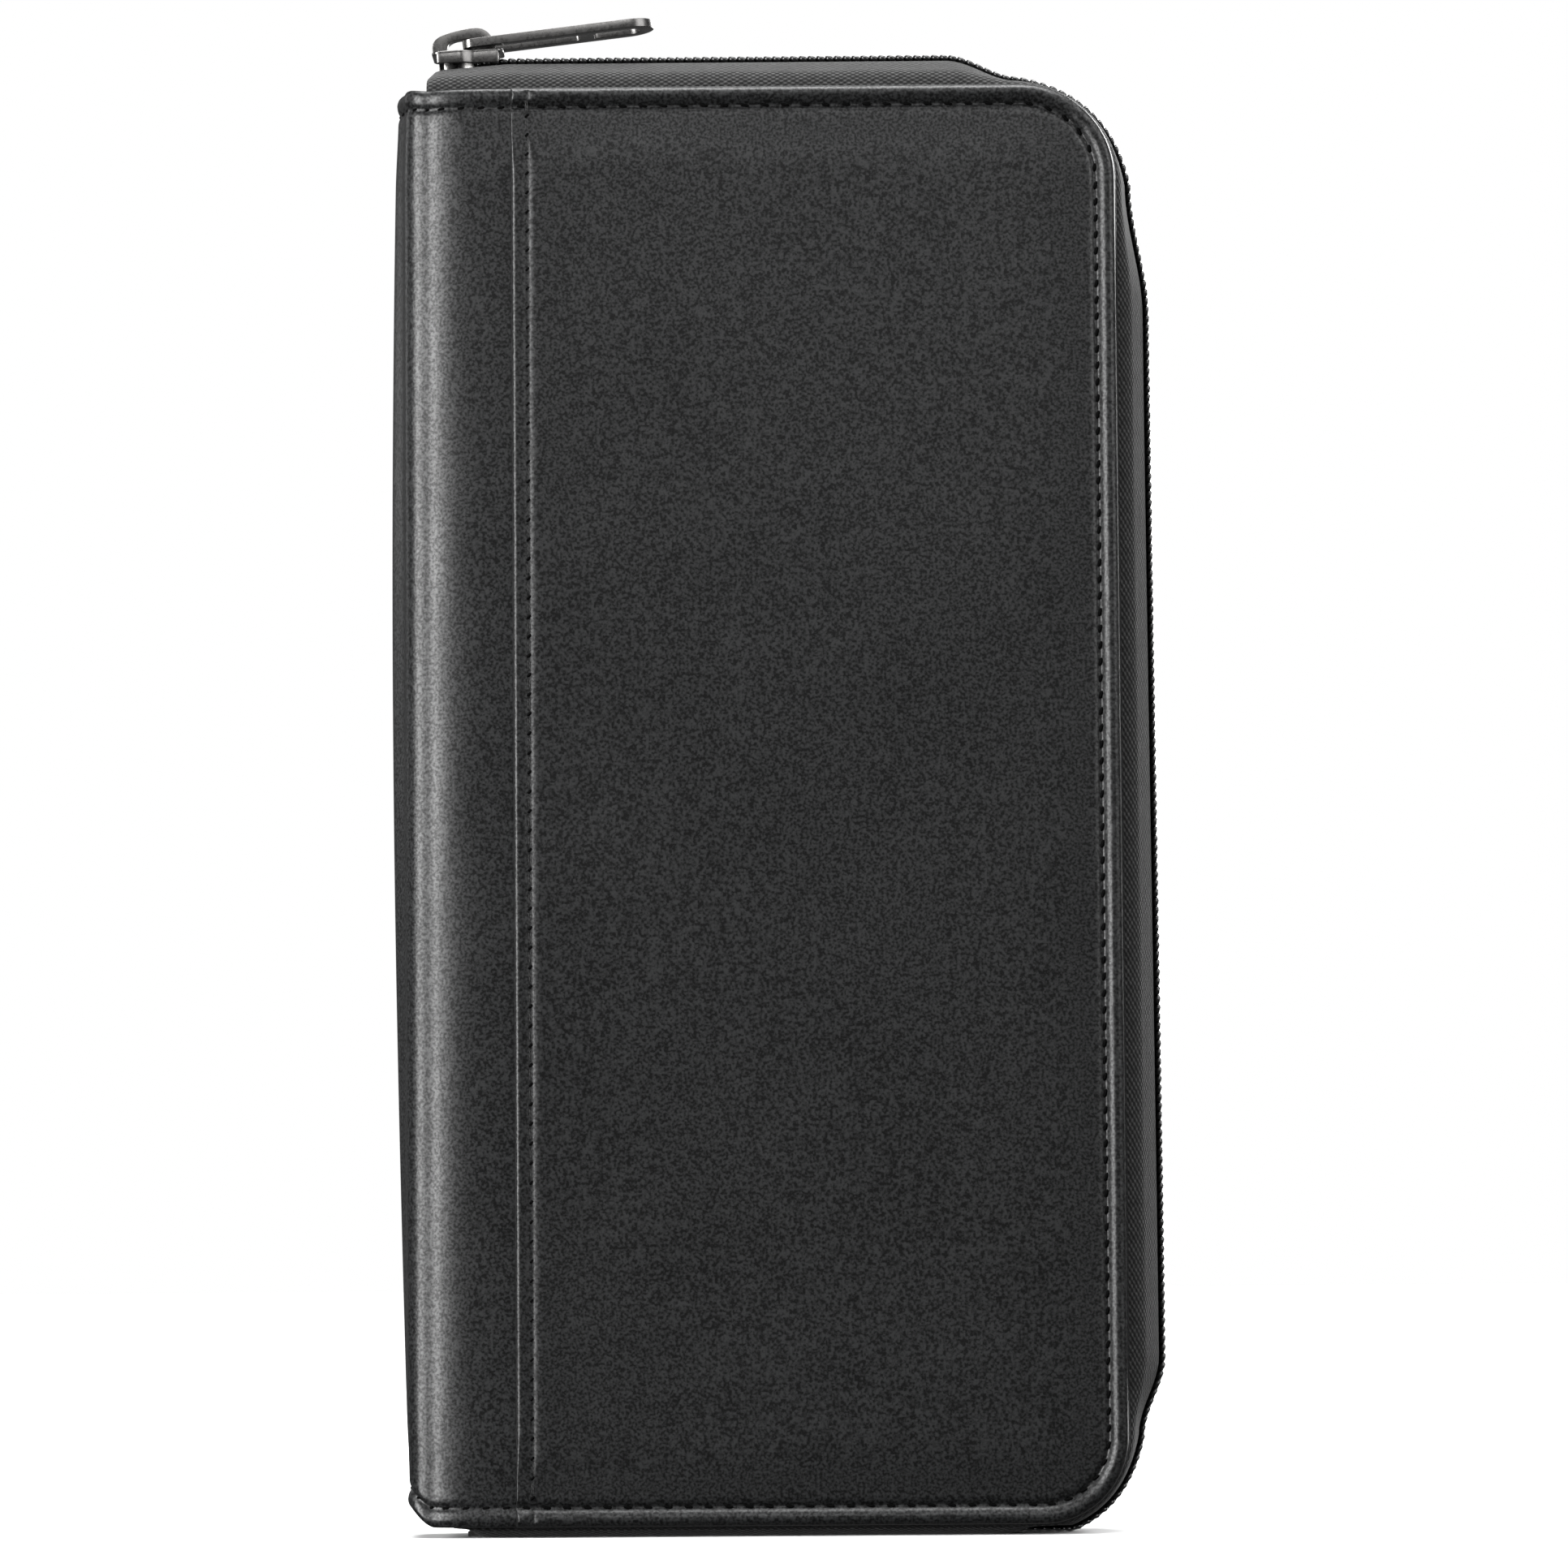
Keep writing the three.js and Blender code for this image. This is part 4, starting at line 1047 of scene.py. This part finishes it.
def slider_bail():
    outer, inner = bail_outline()
    inner = inner[::-1]
    t_outer = np.linspace(0, 1, len(outer))
    t_inner = np.linspace(0, 1, len(inner))
    samples = np.linspace(0, 1, 48)
    outer = np.stack([np.interp(samples, t_outer, outer[:, k]) for k in (0, 1)], axis=1)
    inner = np.stack([np.interp(samples, t_inner, inner[:, k]) for k in (0, 1)], axis=1)
    points = []
    for (ou, ow), (iu, iw) in zip(outer, inner):
        half = BAIL_HALF_WIDTH
        points += [(ou, -half, ow), (ou, half, ow), (iu, half, iw), (iu, -half, iw)]
    obj = add_mesh("slider_arch", slider_place(points), swept_faces(len(samples), 4), METAL)
    face_outwards(obj)
    bevel_edges(obj, width=0.3, segments=4, sharper_than=50)
    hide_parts("slider_bail")
    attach(obj, "slider")
    return obj


def slider():
    top = plate_solid("slider_top_plate", -SLIDER_PLATE, 0.0, 0.0, SLIDER_LENGTH, dome=0.12)
    bottom = plate_solid("slider_bottom_plate", BOTTOM_PLATE_LOW, BOTTOM_PLATE_HIGH,
                         1.3, SLIDER_LENGTH - 0.6, inset=0.8)
    walls = [flange("slider_front_wall", -1), flange("slider_back_wall", 1)]
    pieces = [top, bottom, *walls, slider_post("slider_post")]
    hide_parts("slider_body")
    for piece in pieces:
        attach(piece, "slider")
    slider_bail()


def rounded_loop(left, right, half, near, far, count=9):
    """A closed outline, with near corners and far corners of their own radius."""
    points = []
    for cx, cy, radius, start in (
        (right - far, -(half - far), far, -90), (right - far, half - far, far, 0),
        (left + near, half - near, near, 90), (left + near, -(half - near), near, 180),
    ):
        for t in np.linspace(0, 1, count):
            angle = math.radians(start + 90 * t)
            points.append((cx + radius * math.cos(angle), cy + radius * math.sin(angle)))
    return points


def pull_tab():
    """Flat frame with two windows, turned about its hinge bar."""
    outer = rounded_loop(left=-0.6, right=29.4, half=4.0, near=1.6, far=3.98)
    slot = rounded_loop(left=0.6, right=17.8, half=2.1, near=0.8, far=0.8)
    window = rounded_loop(left=20.0, right=27.4, half=2.1, near=0.8, far=2.05)
    work = bmesh.new()
    for loop in (outer, slot, window):
        ring = [work.verts.new((u * MM, v * MM, 0)) for u, v in loop]
        for a, b in zip(ring, ring[1:] + ring[:1]):
            work.edges.new((a, b))
    bmesh.ops.remove_doubles(work, verts=work.verts, dist=1e-6)
    bmesh.ops.triangle_fill(work, edges=work.edges, use_beauty=True)
    bmesh.ops.dissolve_limit(work, angle_limit=0.01, verts=work.verts, edges=work.edges)
    thickness = PULL_THICKNESS * MM
    result = bmesh.ops.extrude_face_region(work, geom=list(work.faces))
    moved = [g for g in result["geom"] if isinstance(g, bmesh.types.BMVert)]
    bmesh.ops.translate(work, verts=moved, vec=(0, 0, thickness))
    bmesh.ops.translate(work, verts=work.verts, vec=(0, 0, -thickness / 2))
    bmesh.ops.recalc_face_normals(work, faces=work.faces)
    turn = Matrix.Translation((PULL_X * MM, 0, PULL_Z * MM)) @ Matrix.Rotation(-PULL_TILT, 4, "Y")
    work.transform(turn)
    mesh = bpy.data.meshes.new("pull_frame")
    work.to_mesh(mesh)
    work.free()
    obj = bpy.data.objects.new("pull_frame", mesh)
    bpy.context.scene.collection.objects.link(obj)
    obj.data.materials.append(METAL)
    mesh.polygons.foreach_set("use_smooth", [True] * len(mesh.polygons))
    bevel_edges(obj, width=0.5, segments=5, sharper_than=50)
    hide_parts("pull_tab")
    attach(obj, "pull")
    return obj


# ---- Inside ----


PANEL_EDGE = joined(
    spread(0, 0.6, 0.15), spread(0.6, 1.4, 0.27), spread(1.4, 2.2, 0.16), spread(2.2, 3.4, 0.4),
)
PANEL_STEP = 1.6
PANEL_STITCH_INSET = 1.8
PANEL_ROUND = 0.35
SMALL_CORNER = 2.0
CARD_SLOTS = 8


def round_panel_corners(x, z, low, high, radius):
    """Rounds a panel's grid: the zip-side corners by radius and the others a little."""
    for corner_x, sign_x, r in ((high[0], 1, radius), (low[0], -1, SMALL_CORNER)):
        for corner_z, sign_z in ((high[2], 1), (low[2], -1)):
            centre_x, centre_z = corner_x - sign_x * r, corner_z - sign_z * r
            a, b = sign_x * (x - centre_x) / r, sign_z * (z - centre_z) / r
            inside = (a > 0) & (b > 0)
            shrink = np.maximum(a, b)[inside] / np.hypot(a, b)[inside]
            x[inside] = centre_x + sign_x * r * a[inside] * shrink
            z[inside] = centre_z + sign_z * r * b[inside] * shrink


def grid_border(rows, columns):
    """The grid's outer points in order."""
    return ([j for j in range(columns)] + [i * columns + columns - 1 for i in range(1, rows)]
            + [(rows - 1) * columns + j for j in range(columns - 2, -1, -1)]
            + [i * columns for i in range(rows - 2, 0, -1)])


def soft_panel(name, node, body, side, material, cover_corners=False, thinned=0.0):
    """A thin panel in a CAD node's place, with a rounded, stitched border and a little
    unevenness on its inner face. side is -1 on the front cover and +1 on the back one."""
    low, high = box_mm(node)
    outer = (high[1] if side > 0 else low[1]) - side * thinned
    thick = high[1] - low[1] - thinned

    def places(a, b):
        inside = spread(a + PANEL_EDGE[-1], b - PANEL_EDGE[-1], PANEL_STEP)
        return joined(a + PANEL_EDGE, inside, b - PANEL_EDGE[::-1])

    xs, zs = places(low[0], high[0]), places(low[2], high[2])
    x, z = np.meshgrid(xs, zs)
    d = np.minimum(np.minimum(x - low[0], high[0] - x), np.minimum(z - low[2], high[2] - z))
    cover_radius = TOP_CORNER_RADIUS - (COVER_RIGHT_X - high[0])
    round_panel_corners(x, z, low, high, cover_radius if cover_corners else SMALL_CORNER)
    rolled = PANEL_ROUND - np.sqrt(np.maximum(0, PANEL_ROUND ** 2 - np.maximum(0, PANEL_ROUND - d) ** 2))
    groove = 0.14 * np.exp(-((d - PANEL_STITCH_INSET) / 0.4) ** 2)
    waves = 0.04 * np.sin(x / 9 + z / 23) * smooth(d / 8)
    height = np.clip(thick - rolled - groove + waves - 0.04, thick * 0.25, thick)
    face = np.stack([x, outer - side * height, z], axis=-1).reshape(-1, 3)
    rows, columns = len(zs), len(xs)
    loop = grid_border(rows, columns)
    rim = face[loop].copy()
    rim[:, 1] = outer
    start, count = len(face), len(loop)
    faces = grid_faces(rows, columns).tolist()
    for k in range(count):
        after = (k + 1) % count
        faces.append([loop[k], loop[after], start + after, start + k])
    faces.append(list(range(start, start + count)))
    obj = add_mesh(name, np.concatenate([face, rim]), faces, material)
    face_outwards(obj)
    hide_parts(node)
    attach(obj, body)
    return obj


BOARD_SHORTENED = 3
BOARD_THINNED = 0.9  # leaves room for the leather's grooves


def inside_panels():
    for side, cover in ((-1, "front"), (1, "back")):
        body = f"{cover}_cover"
        name = f"{cover}_page_lining"
        soft_panel(name, f"{cover}_lining", body, side, LINING_CLOTH, cover_corners=True)
        soft_panel(f"{cover}_board_sheet", f"{cover}_board", body, side, BOARD_FIBRE,
                   cover_corners=True, thinned=BOARD_THINNED)
    soft_panel("card_page", "card_backing", "front_cover", -1, LINING_CLOTH)
    for k in range(CARD_SLOTS):
        soft_panel(f"card_pocket_{k + 1}", f"card_slot_{k + 1}", "front_cover", -1, CARD_LEATHER)
    for node in ("bill_pocket", "passport_pocket", "ticket_pocket"):
        soft_panel(f"{node}_panel", node, "back_cover", 1, LINING_CLOTH)
    spine_board_sheet()
    soft_spine_lining()


def spine_board_sheet():
    """The spine's board, cut short enough to stay inside the leather's drawn-in ends."""
    low, high = box_mm("spine_board")
    half = high[1] - BOARD_THINNED
    corners = [(low[0], -half), (high[0], -half), (high[0], half), (low[0], half)]
    zs = spread(low[2] + BOARD_SHORTENED, high[2] - BOARD_SHORTENED, 20)
    points = [(x, y, z) for z in zs for x, y in corners]
    faces = swept_faces(len(zs), len(corners))
    obj = add_mesh("spine_board_sheet", points, faces, BOARD_FIBRE, smooth_shading=False)
    face_outwards(obj)
    add_modifier(obj, "BEVEL", width=0.3 * MM, segments=2)
    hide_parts("spine_board")
    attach(obj, "spine")


def soft_spine_lining():
    """Lining of the spine, with a strip on each side."""
    low, high = box_mm("spine_lining")
    for side, cover in ((-1, "front"), (1, "back")):
        line = catmull(np.array([
            (PAGE_LEFT_X + 2.5, side * (LINING_Y - 0.75)),
            (PAGE_LEFT_X - 1.2, side * (LINING_Y - 0.7)),
            (high[0] + 1.4, side * (high[1] + 0.9)),
            (high[0] + 0.25, side * (high[1] - 1.8)),
            (high[0] + 0.2, 0.0),
        ], float), 8)
        ring = band_sides(line, 0.35)
        zs = spread(low[2], high[2], 2.0)
        points = [(x, y, z) for z in zs for x, y in ring]
        faces = swept_faces(len(zs), len(ring))
        obj = add_mesh(f"{cover}_gutter_lining", points, faces, LINING_CLOTH)
        face_outwards(obj)
        blend_at_fold(obj)


# ---- CAD nodes that stay ----


def finish_cad_nodes():
    looks = {
        "spine_lining": LINING_CLOTH,
        "zip_bottom_stop_front": METAL, "zip_bottom_stop_back": METAL,
    }
    for node, material in looks.items():
        obj = frame["nodes"][node]
        obj.data.materials.clear()
        obj.data.materials.append(material)


# ---- Stage ----


FLOOR_HALF_SIZE = 12.0  # metres
CAMERA_PLACE_MM = (4.77, -1000.0, 40.6)
CAMERA_YAW, CAMERA_PITCH, CAMERA_ROLL = (math.radians(angle) for angle in (-0.195, 4.306, -0.418))
CAMERA_LENS = 148.0


def add_stage():
    """A floor that shows and takes shadows, and throws no light back at the wallet."""
    far = FLOOR_HALF_SIZE / MM
    corners = [(-far, -far, 0), (far, -far, 0), (far, far, 0), (-far, far, 0)]
    material = stage_material("pale_floor", 0.86)
    floor = add_mesh("floor", corners, [[0, 1, 2, 3]], material, smooth_shading=False)
    floor.visible_diffuse = False
    floor.visible_glossy = False


def area_light(name, place, target, size, power):
    data = bpy.data.lights.new(name, "AREA")
    data.shape = "RECTANGLE"
    data.size, data.size_y = size
    data.energy = power
    light = bpy.data.objects.new(name, data)
    light.location = place
    light.rotation_euler = (Vector(target) - Vector(place)).to_track_quat("-Z", "Y").to_euler()
    bpy.context.scene.collection.objects.link(light)


ROOM_LIGHT = 0.12


def add_lights():
    middle = (0, 0, 0.115)
    area_light("left_softbox", (-0.84, -0.66, 0.26), middle, (0.42, 0.9), 22)
    area_light("top_panel", (0.0, 0.0, 1.25), middle, (1.2, 0.6), 5)
    area_light("front_fill", (0.05, -1.1, 0.75), middle, (0.5, 0.3), 2.2)
    area_light("right_softbox", (0.75, -0.45, 0.62), middle, (0.7, 1.0), 8)
    area_light("back_softbox", (0.55, 1.0, 0.45), middle, (0.5, 0.9), 16)
    area_light("back_fill", (-0.95, 0.6, 0.5), middle, (0.3, 0.5), 1)
    overhead = bpy.data.lights.new("overhead", "SUN")
    overhead.energy = 3.9
    overhead.angle = math.radians(40)
    light = bpy.data.objects.new("overhead", overhead)
    bpy.context.scene.collection.objects.link(light)
    world = bpy.data.worlds.new("studio")
    world.use_nodes = True
    tree = world.node_tree
    # The room is white to look at, and lights the wallet only a little.
    seen = tree.nodes.new("ShaderNodeLightPath").outputs["Is Camera Ray"]
    strength = tree.nodes.new("ShaderNodeMapRange")
    tree.links.new(seen, strength.inputs["Value"])
    strength.inputs["To Min"].default_value = ROOM_LIGHT
    strength.inputs["To Max"].default_value = 1.0
    tree.links.new(strength.outputs["Result"], tree.nodes["Background"].inputs["Strength"])
    tree.nodes["Background"].inputs["Color"].default_value = (1, 1, 1, 1)
    bpy.context.scene.world = world
    bpy.context.scene.view_settings.view_transform = "Standard"


def add_camera():
    """Low camera in front of the wallet, pitched up a little."""
    place = Vector(CAMERA_PLACE_MM) * MM
    yaw, pitch, roll = CAMERA_YAW, CAMERA_PITCH, CAMERA_ROLL
    forward = Vector((math.sin(yaw) * math.cos(pitch), math.cos(yaw) * math.cos(pitch), math.sin(pitch)))
    right = Vector((math.cos(yaw), -math.sin(yaw), 0))
    up = right.cross(forward)
    level_right, level_up = right, up
    right = level_right * math.cos(roll) + level_up * math.sin(roll)
    up = level_up * math.cos(roll) - level_right * math.sin(roll)
    matrix = Matrix((right, up, -forward)).transposed().to_4x4()
    matrix.translation = place
    data = bpy.data.cameras.new("camera")
    data.lens = CAMERA_LENS
    data.sensor_width = 36
    data.clip_end = 20
    camera = bpy.data.objects.new("camera", data)
    camera.matrix_world = matrix
    bpy.context.scene.collection.objects.link(camera)
    bpy.context.scene.camera = camera


# ---- Assembly ----

add_camera()
add_lights()
add_stage()
cover_leather(-1, "front_cover", 0.4)
cover_leather(1, "back_cover", 1.9)
cover_stitches(-1, "front_cover")
cover_stitches(1, "back_cover")
front_half = spine_half(-1, "spine_leather_front")
back_half = spine_half(1, "spine_leather_back")
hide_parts("spine_flap_front", "spine_leather")
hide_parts("spine_flap_back")
for zip_side, zip_body, zip_name in ((-1, "front_cover", "front"), (1, "back_cover", "back")):
    zip_tape(zip_side, zip_body, f"{zip_name}_zip_tape")
    zip_coil(zip_side, zip_body, f"{zip_name}_zip_coil")
slider()
pull_tab()
inside_panels()
finish_cad_nodes()
